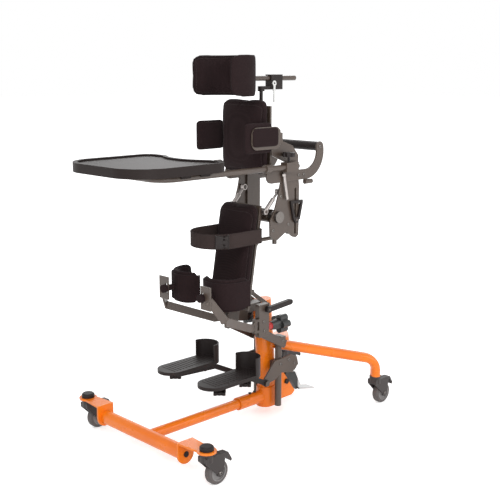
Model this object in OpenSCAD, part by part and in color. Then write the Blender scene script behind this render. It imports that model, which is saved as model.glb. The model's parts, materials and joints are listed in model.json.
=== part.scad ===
// Paediatric standing frame: an orange wheeled base with a leaning mast, leg supports,
// and a reclining upper body support with tray, lateral pads and headrest.
// While drawing, X points to the user's left, Y to the rear from the front caster
// stems and Z up from the floor. placed() then moves the origin under the middle.

/* [Base] */
// Half of the front caster track
front_stem_x = 296; // [280:1:320]
// Half of the rear caster track
rear_stem_x = 226; // [210:1:245]
// Distance from the front to the rear caster stems
wheelbase = 864; // [840:1:900]
// Height of the front crossbar's section
bar_h = 46; // [40:1:52]
// Thickness of the front crossbar's section
bar_t = 36; // [30:1:40]
// Height of the front crossbar's centre
bar_z = 72; // [68:1:76]
// Distance from the upright leg of a bent plate to the caster stem
plate_reach = 92; // [91:1:100]
// Width of the bent caster plates
plate_w = 60; // [50:1:64]
// Thickness of the bent caster plates
plate_t = 6; // [4:0.5:8]
// Diameter of the spine tube
spine_d = 34; // [30:1:36]
// Height of the spine tube's centre
spine_z = 62; // [58:1:66]
// Diameter of the sleeve that holds the spine tube
sleeve_d = 44; // [42:1:48]
// Length of the sleeve ahead of the mast
sleeve_len = 149; // [130:1:165]
// Wall of the base tubes
tube_wall = 2.5; // [1.5:0.5:4]

/* [Casters] */
// Wheel diameter
wheel_d = 75; // [70:1:78]
// Wheel width
wheel_w = 24; // [20:1:26]
// Distance that the axle trails behind the stem
caster_trail = 36; // [32:1:38]
// Height of the caster up to the plate that it carries
caster_h = 108; // [105:1:114]
// Stem diameter
stem_d = 11; // [10:0.5:12]
// Reach of the brake pedal behind the axle
brake_reach = 52; // [46:1:52]

/* [Mast] */
// Distance from the front stems to the foot of the mast
mast_y = 549; // [540:1:560]
// Width of the mast's flat-oval section
mast_w = 50; // [44:1:54]
// Depth of the mast's flat-oval section
mast_d = 70; // [62:1:76]
// Height of the top of the mast
mast_top_z = 410; // [402:1:420]
// Forward lean of the mast in degrees
mast_lean = 5; // [4:0.1:6]
// Height of the hip pivot
hip_z = 708; // [690:1:730]
// Diameter of the hip shaft
shaft_d = 20; // [16:1:24]

/* [Rear legs] */
// Thickness of the rear leg's flat-oval tube
leg_t = 32; // [28:1:36]
// Width of the rear leg's flat-oval tube
leg_w = 45; // [40:1:46]
// Height where the rear legs leave the mast
leg_root_z = 250; // [246:1:258]
// Downward slope of the rear legs in degrees, at the usual wheelbase
leg_slope = 12; // [10:0.5:13]
// Bend radius at the rear corners
leg_bend = 48; // [40:1:56]

/* [Leg supports] */
// Distance of a knee post from the centre line
post_x = 52; // [51:1:54]
// Diameter of a knee post
post_d = 23; // [20:1:24]
// Height of the knee post's lower end
post_z = 34; // [30:1:40]
// Height of the collar that guides a knee post
collar_z = 178; // [174:1:182]
// Length of the sloping bar on a knee post
slope_bar_len = 154; // [146:1:160]
// Downward slope of that bar to the rear in degrees
slope_bar_angle = 28.7; // [26:0.1:30]

/* [Knee supports] */
// Distance of a knee's middle from the centre line
knee_x = 78; // [76:1:84]
// Distance of a knee's middle behind the front stems
knee_y = 275; // [268:1:282]
// Height of a knee's middle
knee_z = 492; // [486:1:502]
// Height of a knee pad
knee_pad_h = 104; // [90:1:116]
// Radius of the middle of a knee pad's wrap
knee_pad_r = 56; // [52:1:60]
// Straight wing of a knee pad beside the leg
knee_wing = 45; // [36:1:54]

/* [Foot supports] */
// Distance of a foot plate's middle from the centre line
foot_x = 100; // [98:1:106]
// Length of a foot plate
foot_len = 240; // [220:1:250]
// Width of a foot plate
foot_w = 96; // [88:1:100]
// Height of a foot plate's top
foot_z = 214; // [208:1:220]
// Thickness of a foot plate
foot_t = 11; // [8:0.5:12]
// Distance of the heel end behind the front stems
heel_y = 392; // [384:1:398]
// Height of the heel cup above the plate
heel_h = 56; // [44:1:64]

/* [Upper body] */
// Distance of the hip plates' inner faces from the centre line
hip_x = 93; // [92:1:96]
// Thickness of the hip plates
hip_t = 6; // [5:0.5:7]
// Length of the height slot in a hip plate
slot_len = 155; // [140:1:158]
// Width of the height slot
slot_w = 9; // [8.5:0.5:11]
// Diameter of the push grip
grip_d = 31; // [26:1:32]
// Radius of the curved handle bracket
handle_r = 71; // [66:1:76]
// Width of the handle bracket
handle_w = 34; // [30:1:36]

/* [Pads] */
// Width of the long leg pad
leg_pad_w = 164; // [150:1:166]
// Length of the long leg pad
leg_pad_h = 345; // [320:1:350]
// Thickness of the long leg pad
leg_pad_t = 50; // [40:1:56]
// Recline of the long leg pad in degrees
leg_pad_lean = 9.2; // [8:0.1:10]
// Width of the trunk pad
trunk_pad_w = 190; // [170:1:196]
// Height of the trunk pad
trunk_pad_h = 235; // [215:1:240]
// Thickness of the trunk pad
trunk_pad_t = 58; // [46:1:62]
// Length of a lateral pad
lateral_len = 120; // [105:1:124]
// Height of a lateral pad
lateral_h = 96; // [84:1:100]
// Radius of the head pad's wrap
head_r = 86; // [80:1:92]
// Height of the head pad
head_h = 128; // [116:1:136]
// Height of the hip belt's webbing
belt_h = 50; // [40:1:54]

/* [Tray] */
// Width of the tray
tray_w = 380; // [350:1:400]
// Depth of the tray
tray_d = 340; // [320:1:360]
// Corner radius of the tray
tray_r = 110; // [90:1:120]
// Height of the tray's rim
tray_h = 28; // [24:1:32]
// Distance of the tray's middle behind the front stems
tray_y = 25; // [20:1:32]
// Distance of a tray rail from the centre line
rail_x = 116; // [115:1:120]
// Diameter of a tray rail
rail_d = 18; // [16:1:19]

/* [Hidden] */
$fn = 64;

// Clearances: radial in a running fit, flat or soft between neighbours, overrun of a cut
run = 0.05;
gap = 0.3;
cut = 1;

// Base
fold_x = front_stem_x - plate_reach;
bar_half = fold_x - plate_t;
plate_end_r = 29;
plate_neck = 21;
cap_r = 21;
cap_h = 14;
cap_round = 4;
stem_len = 14;
spine_grip = 100;
sleeve_front = mast_y - sleeve_len;
spine_end = sleeve_front + spine_grip;
screw_r = 5;
screw_head = 4;
screw_first = 60;
screw_step = 22;
bolt_r = 9;
bolt_h = 6;
fold_bolt_h = 2.5;

// Mast and its foot
mast_base_z = 40;
mast_wall = 3;
mast_len = (mast_top_z - mast_base_z) / cos(mast_lean);
function mast_axis_y(z) = mast_y - (z - mast_base_z) * tan(mast_lean);
hip_y = mast_axis_y(hip_z);
tower_foot_w = 60;
tower_foot_d = 90;
tower_foot_z = 26;
tower_foot_h = 70;
head_tube_r = 22;
head_tube_half = 68;
gusset_x = 21;
gusset_t = 5;
gusset_len = 110;
gusset_h = 103;
gusset_z = 39;
gusset_shares = [[0.25, 0], [0.86, 0.01], [1, 0.13], [0.41, 1], [0.25, 1]];

// Foot pedal
pedal_behind = 65;
pedal_y = mast_y + pedal_behind;
pedal_z = 98;
pedal_pin_r = 5;
pedal_hub_r = 12;
pedal_arm_half = 12;
pedal_arm_len = 90;
pedal_arm_h = 78;
pedal_arm_shares = [[0, 0.08], [0.19, 0.32], [0.68, 0.21], [1, -0.49],
                    [0.76, -0.67], [0.44, -0.1], [0.03, -0.15]];
pedal_plate_half = 20;
pedal_plate_t = 5;
pedal_plate_len = 84;
pedal_plate_drop = 18;
pedal_plate_back = 74;
pedal_plate_z = 50;

// Casters
stem_r = stem_d / 2;
wheel_r = wheel_d / 2;
wheel_round = 6;
wheel_dish = 4;
wheel_hub_r = 24;
axle_r = 4;
fork_leg_t = 5;
fork_side_gap = 1.5;
fork_leg_x = wheel_w / 2 + fork_side_gap;
fork_disc_r = 20;
fork_disc_h = 12;
fork_crown_h = 16;
fork_crown_z = caster_h - gap - fork_disc_h - fork_crown_h;
fork_crown_fore = 18;
fork_axle_boss_r = 12;
brake_pivot_back = 12;
brake_pivot_z = 86;
brake_pin_r = 2.5;
brake_hub_r = 6;
brake_ear_r = 8;
brake_drop = 30;
brake_shares = [[0, 0.2], [0.62, 0.13], [1, -0.73], [0.9, -0.93], [0.6, -0.2], [0.1, -0.2]];
brake_x = wheel_w / 2;
brake_span = brake_reach - brake_pivot_back;

// Rear legs: plan direction and the tangent points of the bend
leg_root_x = 6;
leg_root_back = 19;
leg_root = [leg_root_x, mast_axis_y(leg_root_z) + leg_root_back];
leg_plan = [rear_stem_x, wheelbase] - leg_root;
leg_len = norm(leg_plan);
leg_turn = atan2(leg_plan[1], leg_plan[0]);
bend_s = leg_len - leg_bend;
leg_fall_run = 384;
leg_fall = leg_fall_run * tan(leg_slope);
leg_tilt = atan2(leg_fall, leg_len);
bend_z = leg_root_z - bend_s * tan(leg_tilt) - leg_bend / cos(leg_tilt);
leg_straight = (bend_s + leg_bend * sin(leg_tilt)) / cos(leg_tilt);
leg_plug_h = 32;
leg_sink = 8;

// Side brackets of the leg supports
post_back = 9;
post_y = mast_axis_y(collar_z) + post_back;
post_r = post_d / 2;
collar_r = 19;
collar_h = 30;
link_side_gap = 2;
link_x = post_x + post_r + link_side_gap;
link_t = 6;
link_len = 171;
link_h = 81;
link_fore = 90;
link_below = 47;
link_shares = [[0, 0.22], [0.32, 0.93], [0.58, 0.95], [0.77, 1], [0.95, 0.85], [1, 0.48],
               [0.82, 0.2], [0.5, 0.33], [0.33, 0.11], [0, 0]];
lug_x = 20;
lug_half = 14;
foot_pin_r = 5;
foot_pin_in = 6;
foot_pin_y = post_y - link_fore + foot_pin_in;
foot_pin_up = 10;
foot_pin_z = collar_z - link_below + foot_pin_up;

// Knee post with its sloping bar and clamp block
post_above = 92;
post_top = collar_z + post_above;
slope_bar_h = 28;
slope_bar_t = 12;
bar_x = link_x;
bar_ahead = 125;
bar_front_y = post_y - bar_ahead;
bar_rise = 62;
bar_front_z = post_top + bar_rise;
post_block_w = 20;
post_block_h = 36;
clamp_x = bar_x;
clamp_t = 20;
clamp_d = 45;
clamp_below = 22;
clamp_z = bar_front_z - clamp_below;
clamp_h = 111;
clamp_y = bar_front_y;
clamp_face_x = clamp_x + clamp_t;

// Knee knob, on a stud along Y behind the clamp block
knob_x = clamp_x + clamp_t / 2;
knob_up = 28;
knob_z = clamp_z + knob_up;
knob_y = clamp_y + clamp_d;
knob_stud_r = 5;
knob_stud_len = 20;
knob_collar_r = 12;
knob_collar_len = 16;
knob_neck_r = 14;
knob_cone_len = 34;
knob_lobe_r = 12;
knob_lobe_pcd_r = 20;
knob_core_r = 22;
knob_lobe_len = 34;
knob_lobes = 5;

// Knee arm hinge and strip
swing_ahead = 13;
swing_y = clamp_y - swing_ahead;
swing_out = 12;
swing_x = clamp_x + swing_out;
swing_up = 42;
swing_z = clamp_z + swing_up;
swing_h = 46;
swing_ear_h = 8;
swing_ear_r = 9;
swing_pin_r = 4;
strip_h = 26;
strip_t = 6;
strip_lead = [12, -28, 0];
strip_bend_off = [66, -58, -74];
strip_bend = [knee_x, knee_y, knee_z] + strip_bend_off;
strip_front_off = [36, -100, -5];
strip_front = [knee_x, knee_y, knee_z] + strip_front_off;
slotted_w = 18;
slotted_h = 74;
slotted_t = 5;
slotted_out = 10;
slotted_x = knee_x + slotted_out;
slotted_y = strip_front[1] - strip_t / 2;
pad_slot_len = 34;
pad_stud_r = 4;
pad_knob_r = 13;
pad_knob_len = 14;

// Knee lever
lever_in = 10;
lever_y = clamp_y + clamp_d - lever_in;
lever_below = 18;
lever_z = clamp_z + clamp_h - lever_below;
lever_pin_r = 4;
lever_hub_r = 11;
lever_hub_t = 14;
lever_len = 102;
lever_w = 18;
lever_rise = 8;

// Knee shell and pad
knee_pad_front = 13;
knee_pad_back = 9;
knee_shell_t = 4;
knee_shell_r = knee_pad_r + knee_pad_back + gap;
knee_shell_h = 84;
knee_arc_start = -160;
knee_boss_r = 10;

// Foot arm and plate
foot_bar_x = link_x + link_t + gap;
foot_bar_t = 8;
foot_bar_h = 20;
foot_knuckle_r = 12;
foot_bar_end_y = 205;
foot_rest_t = 4;
foot_rest_z = foot_z - foot_t - gap - foot_rest_t;
foot_rest_front = 188;
foot_rest_len = 176;
foot_rest_w = 46;
foot_slot_len = 50;
foot_stud_r = 4;
foot_stud_slack = 0.5;
foot_stud_step = 112;
foot_stud_first = 222;
foot_stud_out = 8;
foot_stud_x = foot_x + foot_stud_out;
wing_r = 17;
wing_count = 4;
wing_h = 10;
wing_tip_r = 6;
wing_reach = 25;
wing_drop = 24;
heel_wall = 4;
heel_centre_y = heel_y - foot_w / 2;

// Hip plates, behind and above the hip pivot
hip_plate_w = 136;
hip_plate_h = 256;
hip_fore = 35;
nose_fore = 28;
nose_back = 58;
nose_up = 134;
nose_r = 23;
hip_below = 79;
hip_shares = [[0.35, 0.723], [0.30, 0.605], [0.16, 0.395], [0, 0.27],
              [0.01, 0.08], [0.13, 0.02], [0.25, 0.01],
              [0.57, 0.1], [0.79, 0.015], [0.89, 0], [0.99, 0.03], [1, 0.18], [1, 0.68], [0.95, 0.86],
              [0.9, 1], [0.66, 1], [0.55, 0.86]];
slot_back = 83;
slot_y = hip_y + slot_back;
slot_up = 11;
slot_z = hip_z + slot_up;
cap_dome_r = 19;
cap_dome_h = 10;
hip_collar_r = 16;

// Curved handle brackets with a peg, and the tray clamps on their inner ends
handle_t = 6;
handle_back = 126;
handle_y = hip_y + handle_back;
handle_above = 202;
handle_z = hip_z + handle_above;
handle_up = 13;
handle_tail = 108;
handle_x = hip_x + hip_t;
peg_r = 8;
peg_len = 34;
grip_y = handle_y + handle_r * cos(handle_up);
grip_z = handle_z + handle_r * sin(handle_up);
tail_top = handle_z - handle_r + handle_w / 2;
tray_clamp_len = 55;
tray_clamp_h = 29;
tray_clamp_back = 12;
star_in = 20;
tray_clamp_y = hip_y + tray_clamp_back;
rail_z = tail_top + tray_clamp_h / 2;
rail_r = rail_d / 2;
tray_clamp_wall = 3;
tray_clamp_out = rail_x + rail_r + tray_clamp_wall;
star_stud_r = 4;
star_stud_len = 18;
star_r = 15;
star_core_r = 16;
star_lobe_r = 6;
star_lobes = 6;
star_h = 14;

// Recline struts between the leg pad board and the hip plates
strut_x = 80;
strut_half = 6;
strut_low_off = [-40, 20];
strut_low = [hip_y, hip_z] + strut_low_off;
strut_high_off = [20, 80];
strut_high = [hip_y, hip_z] + strut_high_off;
strut_span = norm(strut_high - strut_low);
strut_angle = atan2(strut_high[1] - strut_low[1], strut_high[0] - strut_low[0]);
strut_pin_r = 5;
strut_eye_r = 10;
strut_barrel_r = 7;
strut_barrel_share = 0.62;
strut_rod_r = 4;
strut_rod_back_share = 0.38;
strut_top_pin_r = 4;
strut_top_slack = 3;

// Cam levers
cam_x = hip_x + hip_t + gap;
cam_below = 18;
cam_z = hip_z - cam_below;
cam_stud_r = 4;
cam_hub_r = 10;
cam_t = 8;
cam_arm_w = 9;
cam_reach = 56;
cam_spread = 24;

// Trunk board with its side plates, hinge ears and head socket
side_t = 6;
side_gap = 1;
side_x = hip_x - side_gap - side_t;
trunk_ahead = 25;
trunk_y = hip_y - trunk_ahead;
trunk_board_t = 7;
trunk_board_w = 174;
trunk_above = 142;
trunk_bottom = hip_z + trunk_above;
trunk_board_h = 215;
side_len = 128;
side_h = 330;
side_shares = [[0.6, 0.02], [0.95, 0], [1, 0.06], [1, 0.8], [0.78, 0.9], [0.06, 1], [0.02, 1],
               [0.02, 0.82], [0.53, 0.74], [0.53, 0.06]];
side_below = 70;
side_z = hip_z - side_below;
ear_x = 112;
ear_above = 260;
ear_z = hip_z + ear_above;
ear_back = 10;
ear_y = trunk_y + ear_back;
ear_h = 46;
ear_t = 8;
ear_r = 8.5;
ear_pin_r = 4;
socket_back = 46;
socket_y = trunk_y + socket_back;
socket_r = 11;
socket_up = 150;
socket_z = trunk_bottom + socket_up;
socket_h = 44;

// Lateral supports
lateral_plate_t = 4;
lateral_gap = 0.5;
lateral_plate_x = ear_x + ear_r + lateral_gap;
lateral_plate_h = 70;
lateral_plate_len = 128;
lateral_plate_r = 24;
lateral_pad_t = 17;
lateral_ahead = 88;
lateral_pad_y = ear_y - lateral_ahead;

// Head support
stem_rod_r = 6;
head_clamp_back = 34;
head_clamp_y = socket_y + head_clamp_back;
head_clamp_len = 52;
head_clamp_half = 14;
head_clamp_h = 48;
head_rod_r = 8;
head_rod_above = 85;
head_rod_z = trunk_bottom + trunk_board_h + head_rod_above;
head_clamp_below = 36;
head_clamp_z = head_rod_z - head_clamp_below;
head_ahead = 141;
head_y = hip_y - head_ahead;
head_pad_front = 14;
head_pad_back = 12;
head_wing = 58;
head_rod_len = 222;
head_back_y = head_y + head_r + head_pad_back;
head_disc_r = 24;
head_disc_t = 5;
head_lever_t = 4;
head_lever_w = 9;
head_lever_len = 62;
head_lever_pin_r = 3;
head_lever_in = 10;
head_lever_y = head_clamp_y + head_lever_in;

// Tray, with a recess inside its rim and saddles on the rails
tray_lift = 7.5;
tray_back_r = 40;
tray_top = rail_z + rail_r + tray_h + tray_lift;
tray_recess = 6;
tray_rim = 14;
tray_belly_r = 170;
tray_belly_in = 34;
saddle_w = 26;
saddle_len = 36;
saddle_shares = [0.16, 0.38];
rail_tail = 6;
rail_back = tray_clamp_y + tray_clamp_len + rail_tail;
rail_bend = 60;
rail_ahead = 30;
rail_front = tray_y - rail_ahead;
stop_r = 14;
stop_len = 22;
stop_ahead = 66;
stop_y = hip_y - stop_ahead;
head_pad_up = 10;
head_pad_z = head_rod_z + head_pad_up;

// Leg pad and its board, reclined about the lower rear edge of the pad
leg_pad_y = 383;
leg_pad_z = 407;
board_w = 140;
board_t = 8;
tie_half = 20;
tie_h = 28;
tie_z = mast_top_z - tie_h / 2 - cut;
column_half = 25;
column_d = 40;
column_drop = 42;
column_top = (hip_z - leg_pad_z) / cos(leg_pad_lean);
brace_x = mast_w / 2;
brace_t = 6;
brace_r = 8;
brace_up = 75;
brace_z = leg_pad_z + brace_up;
brace_drop = 12;
brace_mast_z = leg_pad_z - brace_drop;
stub_x = 62;
stub_r = 7;
stub_below = 75;
stub_z = hip_z - stub_below;
stub_len = 94;
stub_tail = 22;
yoke_t = 6;
yoke_half = stub_x + stub_r - cut;
yoke_from = (stub_z - 2 * stub_r - leg_pad_z) / cos(leg_pad_lean);
yoke_to = (strut_low[1] + stub_r - cut - leg_pad_z) / cos(leg_pad_lean);
function board_y(z) = leg_pad_y + (z - leg_pad_z) * tan(leg_pad_lean);
neck_from = min(board_y(hip_z) + board_t, hip_y - head_tube_r / 2);
strut_foot_from = min(board_y(strut_low[1]) + board_t / 2, strut_low[0] - stub_r);
strut_foot_to = max(strut_low[0] + board_t, board_y(strut_low[1]) + board_t + yoke_t);

// Hip belt: webbing from one edge of the board round the hips to the other
belt_t = 3;
belt_slack = 0.5;
belt_half = leg_pad_w / 2 + gap + belt_t + belt_slack;
belt_front = 228;
belt_below = 82;
belt_z = hip_z - belt_below;
belt_back = board_y(belt_z + belt_h) + board_t / cos(leg_pad_lean) + belt_t + belt_slack;
belt_back_r = 12;
buckle_len = 44;
buckle_h = 38;
buckle_t = 11;
buckle_turn = 58;

// Soft forms: sides of a section, and shares that shape crown, corners and drawn-in edges
soft_sides = 16;
station_shares = [-0.995, -0.97, -0.91, -0.8, -0.62, -0.42, -0.21, 0,
                  0.21, 0.42, 0.62, 0.8, 0.91, 0.97, 0.995];
edge_power = 0.5;
crown_power = 0.8;
flat_power = 0.25;
corner_power = 7;
crown_share = 0.18;
draw_share = 0.03;

// Origin under the middle of the whole object
mid_y = (tray_y - tray_d / 2 + wheelbase + caster_trail + brake_reach) / 2;

orange = "darkorange";
dark = "dimgray";
black = [0.13, 0.12, 0.12];
silver = "silver";

// Helpers

module placed() translate([0, -mid_y, 0]) children();

module both() {
    children();
    mirror([1, 0, 0]) children();
}

module on_side(side) {
    if (side > 0) children();
    else mirror([1, 0, 0]) children();
}

// Flat-oval outline, longer along Y
module flat_oval(across, along) {
    square([across, along - across], center = true);
    for (end = [-1, 1]) translate([0, end * (along - across) / 2]) circle(across / 2);
}

// A slab that is drawn in the Y-Z plane and grows along +X from x
module slab(x, thickness) translate([x, 0, 0]) rotate([90, 0, 90]) linear_extrude(thickness) children();

module x_rod(x0, x1, y, z, r) translate([x0, y, z]) rotate([0, 90, 0]) cylinder(h = x1 - x0, r = r);

module y_rod(x, y0, y1, z, r) translate([x, y0, z]) rotate([-90, 0, 0]) cylinder(h = y1 - y0, r = r);

module z_rod(x, y, z0, z1, r) translate([x, y, z0]) cylinder(h = z1 - z0, r = r);

// Knob outline: a core with round lobes
module lobed(lobes, core_r, pcd_r, lobe_r) {
    circle(core_r);
    for (i = [0 : lobes - 1]) rotate(i * 360 / lobes) translate([pcd_r, 0]) circle(lobe_r);
}

// Flat strip of a given height between two points, standing on edge
module strip(a, b) {
    way = b - a;
    flat = norm([way[0], way[1]]);
    translate(a)
        rotate([0, -atan2(way[2], flat), atan2(way[1], way[0])])
            translate([0, -strip_t / 2, -strip_h / 2])
                cube([norm(way), strip_t, strip_h]);
}

function spread(shares, w, h) = [for (p = shares) [p[0] * w, p[1] * h]];

module outline(shares, w, h, y, z) translate([y, z]) polygon(spread(shares, w, h));

// Soft forms

function squash(c, power) = sign(c) * pow(abs(c), power);

function height_share(u) =
    pow(1 - pow(abs(u), corner_power), 1 / corner_power) * (1 - draw_share * (1 - u * u));

function thick_share(u) = pow(1 - pow(abs(u), corner_power), 1 / 2) * (1 - crown_share * u * u);

// A station is [x, y, normal x, normal y, height share, thickness share]
function flat_stations(w) = [for (u = station_shares)
    [u * w / 2, 0, 0, -1, height_share(u), thick_share(u)]];

// Stations along an arc from angle a0 to a1 with straight wings, facing the centre
function wrap_station(u, c, r, a0, a1, w0, w1) =
    let (turn = sign(a1 - a0),
         arc = abs(a1 - a0) * PI / 180 * r,
         s = (u + 1) / 2 * (w0 + arc + w1) - w0,
         a = a0 + turn * min(max(s, 0), arc) / r * 180 / PI,
         over = s - min(max(s, 0), arc),
         p = c + r * [cos(a), sin(a)] + over * turn * [-sin(a), cos(a)])
    [p[0], p[1], -cos(a), -sin(a), height_share(u), thick_share(u)];

function wrap_stations(c, r, a0, a1, w0, w1) =
    [for (u = station_shares) wrap_station(u, c, r, a0, a1, w0, w1)];

function soft_points(stations, h, front, back) = [
    for (s = stations) for (j = [0 : soft_sides - 1])
        let (a = 360 * (j + 0.5) / soft_sides,
             v = squash(cos(a), edge_power) * h / 2 * s[4],
             out = sin(a) > 0 ? front * squash(sin(a), crown_power) : back * squash(sin(a), flat_power),
             w = out * s[5])
        [s[0] + s[2] * w, s[1] + s[3] * w, v]];

function ring_faces(i, m) = [for (j = [0 : m - 1]) each [
    [i * m + j, i * m + (j + 1) % m, (i + 1) * m + j],
    [(i + 1) * m + j, i * m + (j + 1) % m, (i + 1) * m + (j + 1) % m]]];

function flip(faces) = [for (f = faces) [f[2], f[1], f[0]]];

module soft_form(stations, h, front, back, turned) {
    n = len(stations);
    m = soft_sides;
    walls = [for (i = [0 : n - 2]) each ring_faces(i, m)];
    first = [for (j = [1 : m - 2]) [0, j + 1, j]];
    last = [for (j = [1 : m - 2]) [(n - 1) * m, (n - 1) * m + j, (n - 1) * m + j + 1]];
    faces = concat(walls, first, last);
    polyhedron(soft_points(stations, h, front, back), turned ? faces : flip(faces));
}

// Base

module front_crossbar() color(orange) translate([0, 0, bar_z]) difference() {
    rotate([0, 90, 0]) linear_extrude(2 * bar_half, center = true) difference() {
        rotate(90) flat_oval(bar_t, bar_h);
        rotate(90) flat_oval(bar_t - 2 * tube_wall, bar_h - 2 * tube_wall);
    }
    y_rod(0, 0, bar_t, spine_z - bar_z, spine_d / 2 + run);
}

module front_brackets() color(orange) both() {
    slab(bar_half, plate_t) {
        translate([-plate_w / 2, bar_z]) square([plate_w, caster_h + plate_t - bar_z]);
        translate([0, bar_z]) circle(plate_w / 2);
    }
    translate([0, 0, caster_h]) linear_extrude(plate_t) difference() {
        union() {
            polygon([[bar_half, -plate_w / 2], [front_stem_x, -plate_neck],
                     [front_stem_x, plate_neck], [bar_half, plate_w / 2]]);
            translate([front_stem_x, 0]) circle(plate_end_r);
        }
        translate([front_stem_x, 0]) circle(stem_r + run);
    }
}

module stem_cap() difference() {
    rotate_extrude()
        polygon([[0, 0], [cap_r, 0], [cap_r, cap_h - cap_round], [cap_r - cap_round, cap_h], [0, cap_h]]);
    translate([0, 0, -cut]) cylinder(h = cut + stem_len - plate_t + gap, r = stem_r + run);
}

module sleeve_screws() for (i = [0, 1])
    z_rod(0, sleeve_front + screw_first + i * screw_step, spine_z + spine_d / 2 + gap,
          spine_z + sleeve_d / 2 + screw_head, screw_r);

module base_fasteners() color(black) {
    both() translate([front_stem_x, 0, caster_h + plate_t]) stem_cap();
    both() x_rod(fold_x, fold_x + fold_bolt_h, 0, bar_z, bolt_r);
    both() x_rod(gusset_x + gusset_t, gusset_x + gusset_t + bolt_h, pedal_y, pedal_z, bolt_r);
    sleeve_screws();
}

module spine_tube() color(orange) difference() {
    y_rod(0, 0, spine_end, spine_z, spine_d / 2);
    y_rod(0, -cut, spine_end + cut, spine_z, spine_d / 2 - tube_wall);
}

module mast_solid() translate([0, mast_y, mast_base_z]) rotate([mast_lean, 0, 0])
    linear_extrude(mast_len) flat_oval(mast_w, mast_d);

module mast_hollow() translate([0, mast_y, mast_base_z]) rotate([mast_lean, 0, 0])
    translate([0, 0, tower_foot_h]) linear_extrude(mast_len - tower_foot_h - mast_wall)
        flat_oval(mast_w - 2 * mast_wall, mast_d - 2 * mast_wall);

module tower() color(orange) difference() {
    union() {
        mast_solid();
        translate([0, mast_y, tower_foot_z])
            linear_extrude(tower_foot_h) flat_oval(tower_foot_w, tower_foot_d);
        y_rod(0, sleeve_front, mast_y, spine_z, sleeve_d / 2);
        both() slab(gusset_x, gusset_t) outline(gusset_shares, gusset_len, gusset_h, mast_y, gusset_z);
        x_rod(-gusset_x - gusset_t, gusset_x + gusset_t, pedal_y, pedal_z, pedal_pin_r);
    }
    mast_hollow();
    y_rod(0, sleeve_front - cut, spine_end, spine_z, spine_d / 2 + run);
    sleeve_screws();
}

// Sloping part of a rear leg, or the hollow inside it
module leg_slope_run(across, along, sink, run_len)
    translate([0, 0, leg_root_z]) rotate([0, 90 + leg_tilt, 0])
        translate([0, 0, -sink]) linear_extrude(run_len + sink) flat_oval(across, along);

module along_leg() translate([leg_root[0], leg_root[1], 0]) rotate([0, 0, leg_turn]) children();

module rear_legs() color(orange) both() {
    difference() {
        along_leg() difference() {
            leg_slope_run(leg_t, leg_w, leg_sink, leg_straight + cut);
            leg_slope_run(leg_t - 2 * tube_wall, leg_w - 2 * tube_wall,
                          leg_sink + cut, leg_straight - leg_plug_h);
        }
        translate([gap - 2 * leg_w, leg_root[1] - mast_d, 0]) cube([2 * leg_w, 2 * mast_d, hip_z]);
        mast_solid();
    }
    along_leg() translate([bend_s, 0, bend_z]) rotate([90, 0, 0]) rotate_extrude(angle = 90 - leg_tilt)
        translate([leg_bend, 0]) flat_oval(leg_t - 2 * gap, leg_w - 2 * gap);
    along_leg() translate([leg_len, 0, caster_h]) difference() {
        linear_extrude(bend_z - caster_h + cut) flat_oval(leg_t, leg_w);
        translate([0, 0, -cut]) cylinder(h = stem_len + gap + cut, r = stem_r + run);
    }
}

// Grey side plates with the collar that guides a knee post and the foot arm's pin
module leg_brackets() color(dark) both() difference() {
    union() {
        slab(link_x, link_t) {
            outline(link_shares, link_len, link_h, post_y - link_fore, collar_z - link_below);
            translate([foot_pin_y, foot_pin_z]) circle(foot_knuckle_r);
        }
        z_rod(post_x, post_y, collar_z - collar_h / 2, collar_z + collar_h / 2, collar_r);
        translate([lug_x, post_y - lug_half, collar_z - collar_h / 2])
            cube([post_x - lug_x, 2 * lug_half, collar_h]);
        translate([post_x, post_y - lug_half, collar_z - collar_h / 2])
            cube([link_x - post_x, 2 * lug_half, collar_h]);
        x_rod(link_x, foot_bar_x + foot_bar_t + bolt_h, foot_pin_y, foot_pin_z, foot_pin_r);
        x_rod(foot_bar_x + foot_bar_t + gap, foot_bar_x + foot_bar_t + bolt_h,
              foot_pin_y, foot_pin_z, bolt_r);
    }
    z_rod(post_x, post_y, collar_z - collar_h, collar_z + collar_h, post_r + run);
    mast_solid();
}

module dome() rotate([0, 90, 0]) intersection() {
    cylinder(h = cap_dome_h, r = cap_dome_r);
    translate([0, 0, cap_dome_h - cap_dome_r]) sphere(cap_dome_r * sqrt(2));
}

module hip_shaft() color(silver) {
    x_rod(-hip_x - hip_t - gap, hip_x + hip_t + gap, hip_y, hip_z, shaft_d / 2);
    both() x_rod(head_tube_half, strut_x - strut_half - gap, hip_y, hip_z, hip_collar_r);
    both() x_rod(strut_x - strut_half - gap, hip_x - gap, hip_y, hip_z, hip_collar_r);
    both() translate([hip_x + hip_t + gap, hip_y, hip_z]) dome();
}

// Caster, drawn about its stem with the wheel trailing along +Y

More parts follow.
